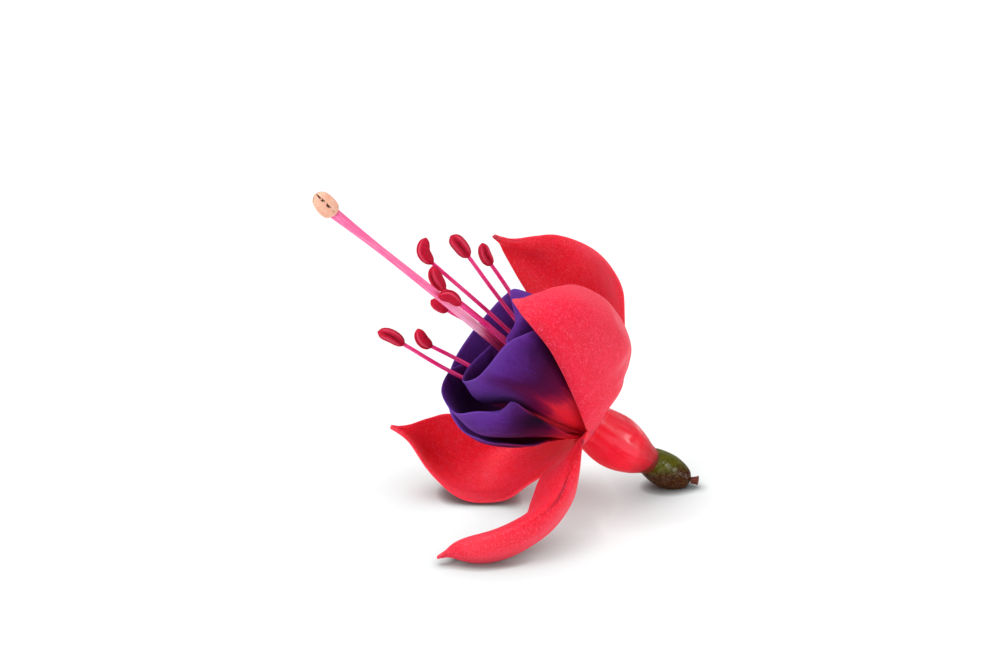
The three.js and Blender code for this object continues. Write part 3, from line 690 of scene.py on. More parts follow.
def sepal_skin(colours):
    """Satin red tissue: soft fine mottling, faint veins along the blade, paler towards the foot,
    a painted highlight along the rim, and painted light and shade in places.
    """
    skin = Skin("sepal_skin", colours.sepal_outside, Specular_IOR_Level=0.20,
                Sheen_Weight=0.04, Sheen_Roughness=0.4,
                Subsurface_Weight=0.65, Subsurface_Scale=0.0020)
    spot = skin.spot()
    leaf = skin.attribute("leaf", "Vector")
    margin = skin.attribute("margin")
    tint = skin.attribute("tint")
    along = skin.part(leaf, "Y")
    inside = skin.part(leaf, "Z")
    cloud = skin.noise(spot, 0.30, 4.0, 0.6)
    patches = skin.noise(spot, 1.1, 3.0, 0.6)
    grain = skin.noise(spot, 3.6, 2.0, 0.65)
    streaks = skin.noise(skin.scaled(leaf, (2.2, 0.22, 5.0)), 1.0, 4.0, 0.6)
    veins = skin.step(abs(streaks - 0.5), 0.06, 0.0)
    skin.lay(inside, colours.sepal_inside)
    skin.lay(skin.step(cloud, 0.35, 0.70) * 0.40, srgb(252, 40, 80))
    skin.lay(skin.step(patches, 0.52, 0.68) * 0.25, srgb(255, 86, 112))
    skin.lay(veins * 0.24, srgb(214, 8, 40))
    skin.lay(skin.step(grain, 0.52, 0.70) * 0.50, srgb(255, 106, 130))
    skin.lay(skin.step(grain, 0.48, 0.34) * 0.40, srgb(212, 8, 38))
    # Painted light, and the pale tip, where the value is above 0; painted shade where it is below
    # 0.
    skin.lay(skin.step_line(tint, 0.0, 1.0) * (0.45 + streaks), srgb(255, 96, 116))
    skin.lay(skin.step_line(tint, 0.0, -1.0), srgb(176, 6, 26))
    foot = skin.step(along + 2.5 * streaks, 9.5, 3.0)
    skin.lay(foot * (1 - inside) * 0.35, srgb(255, 84, 100))
    # A lighter rim along the edge: a painted highlight.
    rim = skin.step(margin, 0.45, 0.1)
    skin.lay(rim * 0.30, srgb(255, 66, 84))
    ribs = skin.bump(streaks, 0.16, 0.5)
    return skin.finished(Roughness=0.42 + 0.16 * grain + 0.06 * cloud,
                         Normal=skin.bump(grain + patches, 0.06, 0.6, ribs))


class FUCHSIA_OT_make_sepals(bpy.types.Operator):
    """Make the four sepals, each a fleshy blade from the rim of the tube to a hooked tip"""

    bl_idname = "fuchsia.make_sepals"
    bl_label = "Sepals"

    def execute(self, context):
        sizes = context.scene.fuchsia_sizes
        material = sepal_skin(context.scene.fuchsia_colours)
        make_blades("sepal", material, sizes.sepal_thickness, sizes.rim_radius,
                    SEPAL_NETS, SEPAL_ROOT, SEPAL_RING, SEPAL_SHAPES, SEPAL_PAINTED_LIGHT, {})
        return {"FINISHED"}


# ---- petals
PETAL_NETS = {
    "petal_near": ((58, 122), [
        [-0.8, 3.3, 4.5, -1.6, 2.9, 6.1, -2.8, 2.4, 7, -3.4, 1.5, 7,
         -3.8, 0.7, 6, -4, 0.2, 4.8, -3.8, 0.1, 4, -3.6, 0.3, 3.5],
        [-2.6, 7.8, 8.3, -4.3, 7, 11.1, -6.2, 6, 12.8, -7.6, 4.3, 12.8,
         -8.5, 3, 11, -8.5, 2.3, 9, -7.8, 2.5, 7.5, -7.2, 2.9, 7],
        [-4.5, 12.5, 11.5, -7.8, 11.6, 14.8, -10.6, 9.8, 17.5, -12.9, 7, 17,
         -14, 5.3, 14, -13.6, 4.4, 10.5, -12.4, 4.7, 8.5, -11.3, 5.6, 7.5],
        [-5.9, 14.9, 13.1, -10.2, 13.9, 16.7, -12.9, 12.3, 19, -15.8, 9.1, 19,
         -18, 6.1, 16, -18.3, 4.6, 12, -17.1, 5, 9, -15.2, 7, 7.5],
        [-6.8, 16.5, 14.1, -11, 15.2, 17, -14.1, 13.5, 19.5, -16.9, 10, 20,
         -19, 8.2, 17.5, -21.1, 7.8, 13.5, -19.9, 10.2, 9.5, -16.5, 13.5, 8],
    ]),
    "petal_down": ((150, 210), [
        [-4, -0.7, 5.9, -4.3, -1.1, 4.9, -4.4, -1.5, 3.3, -4.3, -1.1, 1.6,
         -4.1, -1, 0.6, -4, -0.8, 0, -3.8, -0.5, -0.4],
        [-8, 1.3, 9.9, -8.6, 0.5, 9.8, -9.3, -0.4, 8.4, -9.2, -1.1, 5.1,
         -8.8, -0.9, 1.2, -8.1, -0.3, -1.2, -7.6, 0.8, -2.3],
        [-11.3, 3.4, 13.6, -12.6, 2, 14.2, -13.6, 0, 12.9, -14.8, -0.8, 9.7,
         -14.6, -1, 3.7, -14.4, 0.5, -0.2, -13.7, 2.7, -2],
        [-13, 4.4, 14.6, -14.6, 3, 16.2, -16.7, 1.7, 17, -18.7, 0.1, 13.6,
         -19.9, 0.4, 7.4, -20, 2.9, 1.6, -18.2, 5.4, -1.1],
        [-13.7, 4.6, 15.2, -15.5, 3.3, 17, -18.9, 3.1, 18, -22.5, 3, 15.9,
         -24.6, 5.8, 10.6, -23.4, 9.2, 4.5, -20.8, 10.4, 1.6],
    ]),
    "petal_far": ((240, 300), [
        [-5.3, -1.9, -0.7, -5, -1.2, -1.6, -4.3, 0.3, -2.4, -3.5, 1.2, -3,
         -2.6, 2.2, -2.8, -1.9, 3.1, -2.4, -1.3, 3.6, -1.7],
        [-8.1, -2, 5.5, -9.1, -2.1, 0, -9.1, -0.2, -4.6, -8.1, 2.6, -5.8,
         -6.1, 4.8, -5.8, -4.4, 6.5, -4.5, -3.1, 7.2, -2.5],
        [-12.1, -2.5, 8, -14.1, -2.5, 1, -15.2, 0.8, -5, -14.4, 5, -6.8,
         -12, 8.9, -6.8, -8.7, 11.5, -5, -6.7, 12.5, -2],
        [-15.4, -2.5, 8.5, -18.7, -1.8, 2, -20.9, 2.4, -4, -20.1, 7.6, -6,
         -17, 12.6, -6, -13.1, 16.3, -4, -10.4, 17.6, -0.5],
        [-17.4, -2, 9, -21.2, -0.2, 3, -23.7, 4.4, -2, -22.9, 9.9, -4,
         -19.7, 15.5, -4.5, -15.8, 20, -2, -13.8, 21.8, 2],
    ]),
    "petal_up": ((38, -38), [
        [-2.4, 5.1, 5.4, -1.5, 6.6, 4.9, -1.4, 7.9, 3.3,
         -2.3, 8.2, 1.5, -3.2, 8.1, 0.3, -3.7, 7.7, 0.1],
        [-7.1, 8.1, 10, -5, 10.6, 9.9, -4.1, 13.6, 7.5,
         -5.4, 14.6, 4.3, -6.9, 14.5, 2.1, -8, 13.9, 1.2],
        [-14.1, 13.2, 14.5, -12.1, 15.7, 15.5, -9, 17.5, 13.5,
         -6.4, 18.2, 8.5, -5.4, 17.6, 4, -5.6, 16.5, 0],
        [-13, 16.8, 11.5, -11.8, 18.6, 12.5, -9.6, 19.9, 11.5,
         -7.3, 19.9, 7.5, -6.3, 19.3, 3.5, -6.4, 18.2, 0],
        [-13.6, 21.8, 8.5, -13, 22.1, 9, -11.8, 21.9, 9,
         -10.2, 21.1, 7.5, -8.7, 20.3, 5, -7.9, 19.3, 2.5],
    ]),
}
PETAL_SHAPES = {
    "petal_near": [(swell_by, 0.14, 51), (frill_by, 0.12, 52)],
    "petal_down": [(swell_by, 0.16, 61), (frill_by, 0.14, 62)],
    "petal_far": [(swell_by, 0.20, 71), (frill_by, 0.16, 72)],
    "petal_up": [(swell_by, 0.12, 81), (frill_by, 0.12, 82)],
}
# Painted light and shade on the petals, given as for the sepals.
PETAL_PAINTED_LIGHT = {
    "petal_near": [(1, -1.0, 0.0, 20.0, 24.0, 15.0), (0, -0.45, -7.5, 22.0, 3.5, 5.0),
                   (0, 0.8, 5.4, 22.0, 3.0, 4.0)],
    "petal_down": [(1, -1.0, 0.0, 18.0, 24.0, 13.0), (0, -0.95, -8.0, 14.0, 2.2, 6.0)],
    "petal_far": [(1, -0.5, 2.0, 16.0, 18.0, 13.0), (1, 1.2, -14.0, 18.0, 6.0, 6.0)],
    "petal_up": [(1, -0.5, 0.0, 14.0, 20.0, 8.0)],
}
# Radius and height of a petal's foot, first where it starts down in the throat.
PETAL_ROOT = (2.2, -0.6)
PETAL_RING = (2.35, 0.9)
# How much further than usual a petal's red foot runs, how much further still in a flame up the
# petal, where that flame stands across it and how wide the flame is, all in mm.
PETAL_FLAMES = {
    "petal_near": (2.4, 3.0, 0.6, 1.1),
    "petal_down": (-1.2, 2.0, 0.0, 2.5),
    "petal_far": (0.0, 2.0, 0.0, 2.5),
    "petal_up": (2.0, 2.0, 0.0, 2.0),
}


def flame_reach(blade, run, flame, middle, width):
    """How far along its colours a petal is: the distance from its foot, less the run of its red."""
    return blade["along"] - run - flame * np.exp(-(((blade["across"] - middle) / width) ** 2))


def petal_skin(colours):
    """Velvety tissue: red at the foot, running up in streaks through maroon to violet at the rim,
    with fine grain and veins along the blade, a painted sheen along the edge and painted light
    and shade in places."""
    skin = Skin("petal_skin", Specular_IOR_Level=0.05, Sheen_Weight=0.02, Sheen_Roughness=0.35,
                Sheen_Tint=(*srgb(150, 120, 235), 1.0),
                Subsurface_Weight=0.05, Subsurface_Scale=0.0008)
    spot = skin.spot()
    leaf = skin.attribute("leaf", "Vector")
    margin = skin.attribute("margin")
    reach = skin.attribute("reach")
    tint = skin.attribute("tint")
    cloud = skin.noise(spot, 0.25, 4.0, 0.6)
    patches = skin.noise(spot, 1.2, 3.0, 0.6)
    grain = skin.noise(spot, 5.0, 2.0, 0.7)
    streaks = skin.noise(skin.scaled(leaf, (1.5, 0.10, 5.0)), 1.0, 5.0, 0.65)
    veins = skin.step(abs(streaks - 0.5), 0.04, 0.0)
    run = reach + 3.5 * (streaks - 0.5) + 3.0 * (cloud - 0.5)
    violet = skin.step(run, 16.0, 24.0)
    skin.face = skin.ramp(skin.step_line(run, 5.0, 25.0), [
        (0.0, colours.petal_base), (0.15, srgb(206, 34, 52)), (0.27, srgb(140, 14, 52)),
        (0.40, srgb(90, 4, 50)), (0.62, srgb(68, 5, 56)), (0.78, srgb(74, 20, 92)),
        (0.90, srgb(86, 36, 126)), (1.0, colours.petal),
    ])
    skin.lay(violet * skin.step(patches, 0.45, 0.70) * 0.22, srgb(96, 40, 130))
    skin.lay(violet * skin.step(cloud, 0.55, 0.30) * 0.35, srgb(48, 6, 62))
    skin.lay(veins * 0.18, srgb(60, 6, 60))
    skin.lay(violet * skin.step(grain, 0.52, 0.72) * 0.24, srgb(122, 74, 178))
    skin.lay((1 - violet) * skin.step(grain, 0.55, 0.75) * 0.14, srgb(150, 50, 110))
    # Lighter edges: a painted sheen, violet where the petal is violet and red where it is red.
    edge = skin.step(margin, 0.45, 0.10)
    skin.lay(edge * violet * 0.35, srgb(122, 74, 182))
    skin.lay(edge * (1 - violet) * 0.35, srgb(200, 40, 72))
    # Painted light where the value is above 0; painted shade where it is below 0.
    skin.lay(skin.step_line(tint, 0.0, 1.0) * 0.6, srgb(122, 78, 178))
    skin.lay(skin.step_line(tint, 0.0, -1.0), srgb(20, 3, 30))
    ribs = skin.bump(streaks, 0.14, 0.5)
    return skin.finished(Roughness=0.62 + 0.2 * grain,
                         Normal=skin.bump(grain + patches, 0.05, 0.6, ribs))


class FUCHSIA_OT_make_petals(bpy.types.Operator):
    """Make the four petals, each a thin velvety blade that curls round its neighbours"""

    bl_idname = "fuchsia.make_petals"
    bl_label = "Petals"

    def execute(self, context):
        sizes = context.scene.fuchsia_sizes
        material = petal_skin(context.scene.fuchsia_colours)
        make_blades("petal", material, sizes.petal_thickness, sizes.rim_radius,
                    PETAL_NETS, PETAL_ROOT, PETAL_RING, PETAL_SHAPES, PETAL_PAINTED_LIGHT, PETAL_FLAMES)
        return {"FINISHED"}


# ---- tube and ovary
TUBE_AXIS = [[0, 0, 0], [2.85, -2.0, -1.5], [5.98, -3.92, -4.2], [8.85, -5.45, -7.0]]
TUBE_RADII = [3.9, 4.15, 4.35, 4.4, 4.2, 3.8, 3.3, 2.70, 2.28]
OVARY_AXIS = [[8.0, -4.9, -6.1], [10.95, -6.72, -8.8], [13.15, -7.92, -9.85], [15.9, -8.85, -9.6]]
OVARY_RADII = [1.6, 2.34, 2.68, 2.82, 2.85, 2.75, 2.5, 1.95, 0.9]
STALK_AXIS = [[15.9, -8.84, -9.6], [16.35, -8.87, -9.5], [16.75, -8.9, -9.4], [17.15, -8.95, -9.3]]
STALK_RADII = [0.55, 0.6, 0.68, 0.9]
TUBE_LENGTH = 13.2  # along its outside, for the patterns
TUBE_BORE_RADIUS = 1.15
BORE_START = 0.08  # where the straight part of the passage begins, as a share of the length
TUBE_RIBS = 8
TUBE_RIB_DEPTH = 0.011  # as a share of the radius
TUBE_UNEVENNESS = 0.6  # as a share of the depth of the ribs
TUBE_RISE = 0.15  # share of the length over which the outside rises to the rim
TUBE_LEVELLING = 0.25  # share of the length over which the rings turn level with the throat
TUBE_RIM_HEIGHT = 0.3  # top of the rim above the throat at the sepals above and below
TUBE_CLEFT_HEIGHT = 1.5  # and how much higher it is at the clefts on the near and far sides
# Radius of the rim and the share of its height, from its outside over the top and into the cup.
TUBE_RIM = [(3.92, 0.30), (3.93, 0.60), (3.90, 0.85), (3.78, 0.96), (3.6, 1.0), (3.4, 0.98),
            (3.2, 0.85), (3.1, 0.6), (3.0, 0.2), (2.7, 0.0), (2.1, -0.1), (1.5, -0.1), (1.25, 0.0)]
# Rings and sides of the grids.
TUBE_RINGS, BORE_RINGS, TUBE_SIDES = 90, 20, 160
OVARY_RINGS, OVARY_SIDES = 80, 96
STALK_RINGS, STALK_SIDES = 26, 40
OVARY_ROUNDING, STALK_ROUNDING = 0.06, 0.1  # share of the length that closes each end


def tube_skin(colours):
    """Waxy red tissue with broken lighter streaks along it, partly its own and partly painted
    highlight, and a dusky end at the ovary, glossy in two broken bands: one on top and one on the
    viewer's side."""
    skin = Skin("tube_skin", colours.tube, Specular_IOR_Level=0.08, Coat_Roughness=0.20,
                Subsurface_Weight=0.15, Subsurface_Scale=0.0015)
    spot = skin.spot()
    around = skin.attribute("round", "Vector")
    along = skin.part(around, "Z")
    above = skin.part(around, "X")
    streaks = skin.noise(skin.scaled(around, (3.2, 3.2, 0.14)), 1.0, 3.0, 0.5)
    cloud = skin.noise(spot, 0.45, 3.0)
    patches = skin.noise(skin.scaled(around, (2.6, 2.6, 0.7)), 1.0, 3.0, 0.6)
    grain = skin.noise(spot, 3.6, 2.0, 0.6)
    # Lighter streaks along the tube: partly its own streaks, partly painted highlight.
    skin.lay(skin.step(streaks, 0.42, 0.68) * 0.45, srgb(255, 90, 108))
    skin.lay(skin.step(patches, 0.50, 0.32) * 0.30, srgb(220, 12, 32))
    skin.lay(skin.step(grain, 0.58, 0.75) * 0.20, srgb(255, 110, 124))
    skin.lay(skin.step(along + 2.0 * cloud, 7.0, 12.0) * 0.70, srgb(156, 14, 26))
    skin.lay(skin.step(along + cloud - 1.2 * above, 11.3, 12.9) * 0.85, srgb(92, 34, 16))
    bands = skin.step(abs(above - 0.38), 0.22, 0.05) + skin.step(above, 0.80, 0.96)
    broken = skin.step(0.5 * streaks + 0.5 * patches, 0.40, 0.54)
    gloss = bands * broken * skin.step(along, 9.0, 6.0)
    ribs = skin.bump(streaks, 0.35, 0.7)
    return skin.finished(Roughness=0.34 + 0.16 * grain, Coat_Weight=0.7 * gloss,
                         Normal=skin.bump(grain + patches, 0.06, 0.5, ribs))


def ovary_skin(colours):
    """Glossy tissue, green where it is turned up and brown where it is turned down, speckled, with
    painted shade in its dimples.
    """
    skin = Skin("ovary_skin", colours.ovary_belly, Specular_IOR_Level=0.04, Coat_Roughness=0.22)
    spot = skin.spot()
    height = skin.part(spot, "Z")
    cloud = skin.noise(spot, 0.8, 4.0, 0.6)
    grain = skin.noise(spot, 4.5, 2.0, 0.7)
    dots = skin.step(skin.cells(spot, 3.4), 0.34, 0.12)
    pits = skin.step(skin.noise(spot, 2.6, 2.0, 0.5), 0.46, 0.34)
    up = skin.step(height + 3.0 * (cloud - 0.5), 2.9, 5.0)
    skin.lay(up, colours.ovary_top)
    skin.lay(dots * 0.50, srgb(146, 122, 48))
    skin.lay(skin.step(grain, 0.50, 0.34) * 0.50, srgb(34, 26, 8))
    # Darker in the pits that make the dimples: painted shade.
    skin.lay(pits * 0.35, srgb(36, 24, 8))
    dimples = skin.bump(1 - pits, 0.10, 0.6)
    glossy = skin.step(0.4 * cloud + 0.6 * grain, 0.46, 0.58)
    return skin.finished(Roughness=0.30 + 0.2 * grain, Coat_Weight=0.6 * glossy,
                         Normal=skin.bump(grain, 0.08, 0.7, dimples))


def stalk_skin(colours):
    """Dry brown fibres along the stalk, darker in the cracks."""
    skin = Skin("stalk_skin", srgb(84, 36, 28), Specular_IOR_Level=0.3)
    around = skin.attribute("round", "Vector")
    fibres = skin.noise(skin.scaled(around, (5.0, 5.0, 0.8)), 1.0, 4.0, 0.65)
    grain = skin.noise(skin.spot(), 6.0, 3.0, 0.7)
    skin.lay(skin.step(fibres, 0.35, 0.65), colours.stalk)
    skin.lay(skin.step(grain, 0.55, 0.75) * 0.5, srgb(170, 104, 80))
    return skin.finished(Roughness=0.6 + 0.3 * grain,
                         Normal=skin.bump(fibres + 0.5 * grain, 0.12, 0.8))


def make_tube(material):
    """The tube: its outside, a rim that rises to the clefts between the sepals, a shallow cup at
    the throat and the passage for the style, as one skin of rings that closes on itself."""
    outside = np.linspace(1, 0, TUBE_RINGS)
    inside = np.linspace(BORE_START, 1, BORE_RINGS)
    rim_radius, rim_rise = np.array(TUBE_RIM).T
    places = np.concatenate([outside, np.zeros(rim_rise.size), inside])
    bore = np.full(inside.size, TUBE_BORE_RADIUS)
    radii = np.concatenate([stations(TUBE_RADII, outside), rim_radius, bore])
    to_rim = TUBE_RIM[0][1] * np.clip(1 - outside / TUBE_RISE, 0, 1) ** 2
    rise = np.concatenate([to_rim, rim_rise, 0 * inside])
    turn = ring_turns(TUBE_SIDES)
    crest = TUBE_RIM_HEIGHT + TUBE_CLEFT_HEIGHT * np.sin(turn) ** 2
    tangent = unit(smooth_line(TUBE_AXIS, places + 0.01) - smooth_line(TUBE_AXIS, places - 0.01))
    level = np.clip(1 - places / TUBE_LEVELLING, 0, 1)[:, None]
    tangent = unit((1 - level) * tangent - level * THROAT_NORMAL)
    across = unit(THROAT_UP - (tangent @ THROAT_UP)[:, None] * tangent)
    uneven = ring_ripples(turn, 4, 5) + ring_ripples(turn, 9, 6)
    ribs = np.cos(TUBE_RIBS * turn) + TUBE_UNEVENNESS * uneven
    belly = np.zeros(places.size)
    belly[:outside.size] = np.sin(math.pi * outside) ** 0.7
    grown = radii[:, None] * (1 + TUBE_RIB_DEPTH * belly[:, None] * ribs[None])
    rings = ring_points(smooth_line(TUBE_AXIS, places), across, np.cross(across, tangent), grown)
    rings = rings + (rise[:, None] * crest[None])[..., None] * THROAT_NORMAL
    index = np.arange(grown.size).reshape(grown.shape)
    faces = grid_quads(np.pad(index, ((0, 1), (0, 1)), "wrap")).tolist()
    values = ring_values(grown.shape, places * TUBE_LENGTH).reshape(-1, 3)
    make_piece("tube_skin", rings.reshape(-1, 3), faces, {"round": values}, material, "tube",
               "floral_tube")


def make_ovary(material):
    """The ovary: an egg shape with four blunt corners and eight fainter ones."""
    places = end_places(OVARY_RINGS)
    turn = ring_turns(OVARY_SIDES)[None]
    body = stations(OVARY_RADII, places) * rounded_ends(places, OVARY_ROUNDING)
    angular = 1 + 0.010 * np.cos(4 * turn + 0.5) + 0.006 * np.cos(8 * turn)
    make_round("ovary_skin", "ovary", material, smooth_line(OVARY_AXIS, places),
               body[:, None] * angular, THROAT_UP, "ovary")


def make_stalk(material):
    """The cut end of the stalk, more torn the nearer it is to the cut."""
    places = np.linspace(0, 1, STALK_RINGS)
    torn = 1 + 0.12 * places[:, None] * ring_ripples(ring_turns(STALK_SIDES)[None], 2, 3)
    ends = rounded_ends(places, STALK_ROUNDING)[:, None]
    body = stations(STALK_RADII, places)[:, None] * torn * ends
    make_round("stalk_end", "stalk", material, smooth_line(STALK_AXIS, places), body, THROAT_UP,
               "pedicel_stub")


class FUCHSIA_OT_make_tube(bpy.types.Operator):
    """Make the floral tube, the ovary behind it and the cut end of the stalk"""

    bl_idname = "fuchsia.make_tube"
    bl_label = "Tube, ovary and stalk"

    def execute(self, context):
        colours = context.scene.fuchsia_colours
        make_tube(tube_skin(colours))
        make_ovary(ovary_skin(colours))
        make_stalk(stalk_skin(colours))
        return {"FINISHED"}


# ---- style and stigma
STYLE_AXIS = [[8.6, -5.2, -6.75], [6.1, -3.7, -4.2], [2.9, -1.9, -1.5], [0, 0, 0], [-3.1, 2.4, 1.8],
              [-8.3, 7.0, 5.6], [-15.7, 13.6, 11.3], [-28.0, 23.6, 19.9], [-40.2, 33.25, 27.5]]
STYLE_RADII = [0.60, 0.60, 0.60, 0.60, 0.60, 0.62, 0.66, 0.70, 0.74, 0.78, 0.80, 0.78, 0.72, 0.65,
               0.59, 0.58, 0.84]
STIGMA_AXIS = [[-39.85, 33.0, 27.2], [-41.4, 34.5, 28.3], [-42.75, 36.0, 29.1]]
STIGMA_RADII = [0.95, 1.35, 1.55, 1.62, 1.58, 1.45, 1.2, 0.8]
STIGMA_LOBES = 4
CLEFT_WIDTH = 0.30  # of the clefts between the lobes, as a sine of half the turn
CLEFT_DEPTH = 0.12  # as a share of the radius
STIGMA_LUMPS = 0.03  # as a share of the radius
STIGMA_ROUNDING = 0.22  # share of the length that closes each end
STYLE_RINGS, STYLE_SIDES = 200, 32
STIGMA_RINGS, STIGMA_SIDES = 72, 128


def style_skin(colours):
    """Pink, paler towards the base, partly painted light, with pale lines along it, and painted
    shade where it goes into the throat.
    """
    skin = Skin("style_skin", Specular_IOR_Level=0.45, Subsurface_Weight=0.2,
                Subsurface_Scale=0.0008)
    around = skin.attribute("round", "Vector")
    along = skin.part(around, "Z")
    lines = skin.noise(skin.scaled(around, (3.0, 3.0, 0.25)), 1.0, 3.0, 0.6)
    grain = skin.noise(skin.spot(), 6.0, 2.0, 0.6)
    # The pale stops near the base are its own paleness made paler still: painted light where the
    # style lies in shade.
    skin.face = skin.ramp(skin.step(along + 3 * lines, 20.0, 66.0), [
        (0.0, srgb(214, 60, 130)), (0.40, srgb(206, 44, 112)), (0.47, srgb(255, 184, 218)),
        (0.55, srgb(255, 172, 208)), (0.75, colours.style), (1.0, colours.style),
    ])
    skin.lay(skin.step(lines, 0.50, 0.68) * 0.45, srgb(255, 186, 212))
    skin.lay(skin.step(lines, 0.46, 0.32) * 0.30, srgb(236, 50, 122))
    # Darker where the style goes into the throat: painted shade.
    skin.lay(skin.step(along + 1.5 * lines, 39.5, 36.2) * 0.9, srgb(138, 10, 70))
    return skin.finished(Roughness=0.36 + 0.2 * grain,
                         Normal=skin.bump(lines + 0.3 * grain, 0.05, 0.6))


def stigma_skin(colours):
    """Peach tissue, brown in the clefts between the lobes near the tip."""
    skin = Skin("stigma_skin", colours.stigma, Specular_IOR_Level=0.35, Subsurface_Weight=0.15,
                Subsurface_Scale=0.0008)
    spot = skin.spot()
    cleft = skin.attribute("cleft")
    cloud = skin.noise(spot, 1.3, 3.0, 0.6)
    breaks = skin.noise(spot, 1.5, 1.0, 0.5)
    grain = skin.noise(spot, 7.0, 2.0, 0.6)
    skin.lay(skin.step(cloud, 0.42, 0.70) * 0.6, srgb(252, 208, 184))
    skin.lay(skin.step(grain, 0.52, 0.70) * 0.45, srgb(214, 128, 104))
    slits = skin.step(cleft * skin.step(breaks, 0.42, 0.50), 0.20, 0.42)
    skin.lay(slits, srgb(84, 40, 24))
    return skin.finished(Roughness=0.5 + 0.25 * grain, Normal=skin.bump(grain + cloud, 0.10, 0.7))


def make_style(material):
    """The style: a long rod, very slightly square, that widens a little on its way."""
    places = np.linspace(0, 1, STYLE_RINGS)
    square = 1 + 0.02 * np.cos(4 * ring_turns(STYLE_SIDES)[None])
    body = stations(STYLE_RADII, places)[:, None] * square
    make_round("style_rod", "style", material, smooth_line(STYLE_AXIS, places), body, THROAT_UP,
               "style")


def make_stigma(material):
    """The stigma: a lumpy egg with a cleft between each two lobes, deeper towards its tip."""
    places = end_places(STIGMA_RINGS)
    turn = ring_turns(STIGMA_SIDES)[None]
    between = np.sin(0.5 * STIGMA_LOBES * turn) / CLEFT_WIDTH
    cleft = np.exp(-(between**2)) * places[:, None] ** 0.8
    lumps = STIGMA_LUMPS * ring_ripples(turn, 4, 9, 3 * places[:, None])
    body = stations(STIGMA_RADII, places) * rounded_ends(places, STIGMA_ROUNDING)
    body = body[:, None] * (1 - CLEFT_DEPTH * cleft + lumps)
    make_round("stigma_lobes", "stigma", material, smooth_line(STIGMA_AXIS, places), body,
               THROAT_UP, "stigma", cleft=(cleft, [0, 1]))


class FUCHSIA_OT_make_pistil(bpy.types.Operator):
    """Make the style and the four-lobed stigma at its tip"""

    bl_idname = "fuchsia.make_pistil"
    bl_label = "Style and stigma"

    def execute(self, context):
        colours = context.scene.fuchsia_colours
        make_style(style_skin(colours))
        make_stigma(stigma_skin(colours))
        return {"FINISHED"}


# ---- stamens
# Where each filament leaves the throat, in degrees, a point on its way, three points along its
# anther, which bends like a bean, the anther's radius, and how many degrees its seam is turned
# from the viewer.
STAMENS = [
    (-80, [-12.9, 14.6, 7.0],
     [[-25.6, 25.8, 14.8], [-27.0, 27.7, 15.4], [-26.6, 29.9, 16.0]], 1.0, 110),
    (10, [-13.8, 18.7, 6.2],
     [[-20.0, 27.0, 9.5], [-21.5, 28.9, 10.0], [-22.9, 30.4, 10.5]], 1.2, 0),
    (-35, [-13.5, 21.5, 4.6],
     [[-16.5, 25.8, 5.9], [-17.5, 27.4, 6.2], [-18.0, 29.4, 6.6]], 1.0, 15),
    (55, [-14.3, 14.1, 9.6],
     [[-23.7, 21.7, 15.4], [-25.0, 23.5, 15.9], [-25.6, 25.5, 16.5]], 1.05, -40),
    (100, [-14.3, 13.7, 12.4],
     [[-21.2, 19.4, 18.5], [-22.8, 20.8, 19.0], [-24.7, 20.8, 19.3]], 0.92, 60),
    (-125, [-17.0, 14.6, 8.6],
     [[-23.2, 18.7, 11.0], [-24.5, 19.35, 11.2], [-26.0, 20.3, 11.5]], 0.98, 90),
    (-170, [-20.8, 8.0, 5.4],
     [[-30.2, 13.3, 7.9], [-32.2, 14.7, 8.4], [-34.4, 15.4, 8.8]], 1.08, 0),
    (-215, [-19.6, 9.8, 6.2],
     [[-25.8, 13.0, 8.7], [-27.3, 14.0, 9.0], [-28.1, 15.9, 9.4]], 0.94, 120),
]
STAMEN_RING = (1.4, 0.8)  # radius and height of the filaments' feet
FILAMENT_TAPER = (1.08, 0.92)  # shares of the radius at its foot and at its anther
SUNK = 0.25  # how far a filament runs into its anther, as a share of the way to the anther's middle
FILAMENT_RINGS, FILAMENT_SIDES = 90, 20
ANTHER_RINGS, ANTHER_SIDES = 56, 72
ANTHER_RADII = [0.35, 0.75, 0.95, 1.0, 1.0, 0.95, 0.75, 0.3]
ANTHER_ROUNDING = 0.12  # share of the length that closes each end
GROOVE_DEPTH, LIP_HEIGHT, ANTHER_LUMPS = 0.26, 0.08, 0.02  # as shares of the radius
GROOVE_WIDTH, LIP_WIDTH, LIP_TURN = 0.20, 0.25, 0.62  # in radians, the last from the seam
ANTHER_SEED = 100  # each anther's number is added


def filament_skin(colours):
    """Satin magenta, a little paler along its length in fine lines, partly a painted highlight."""
    skin = Skin("filament_skin", colours.filament, Specular_IOR_Level=0.1, Subsurface_Weight=0.12,
                Subsurface_Scale=0.0006)
    around = skin.attribute("round", "Vector")
    lines = skin.noise(skin.scaled(around, (1.6, 1.6, 0.30)), 1.0, 3.0, 0.6)
    # Paler lines along it: partly its own, partly a painted highlight.
    skin.lay(skin.step(lines, 0.42, 0.66) * 0.6, srgb(255, 112, 172))
    skin.lay(skin.step(lines, 0.45, 0.28) * 0.5, srgb(186, 18, 84))
    return skin.finished(Roughness=0.34 + 0.2 * lines, Normal=skin.bump(lines, 0.04, 0.5))


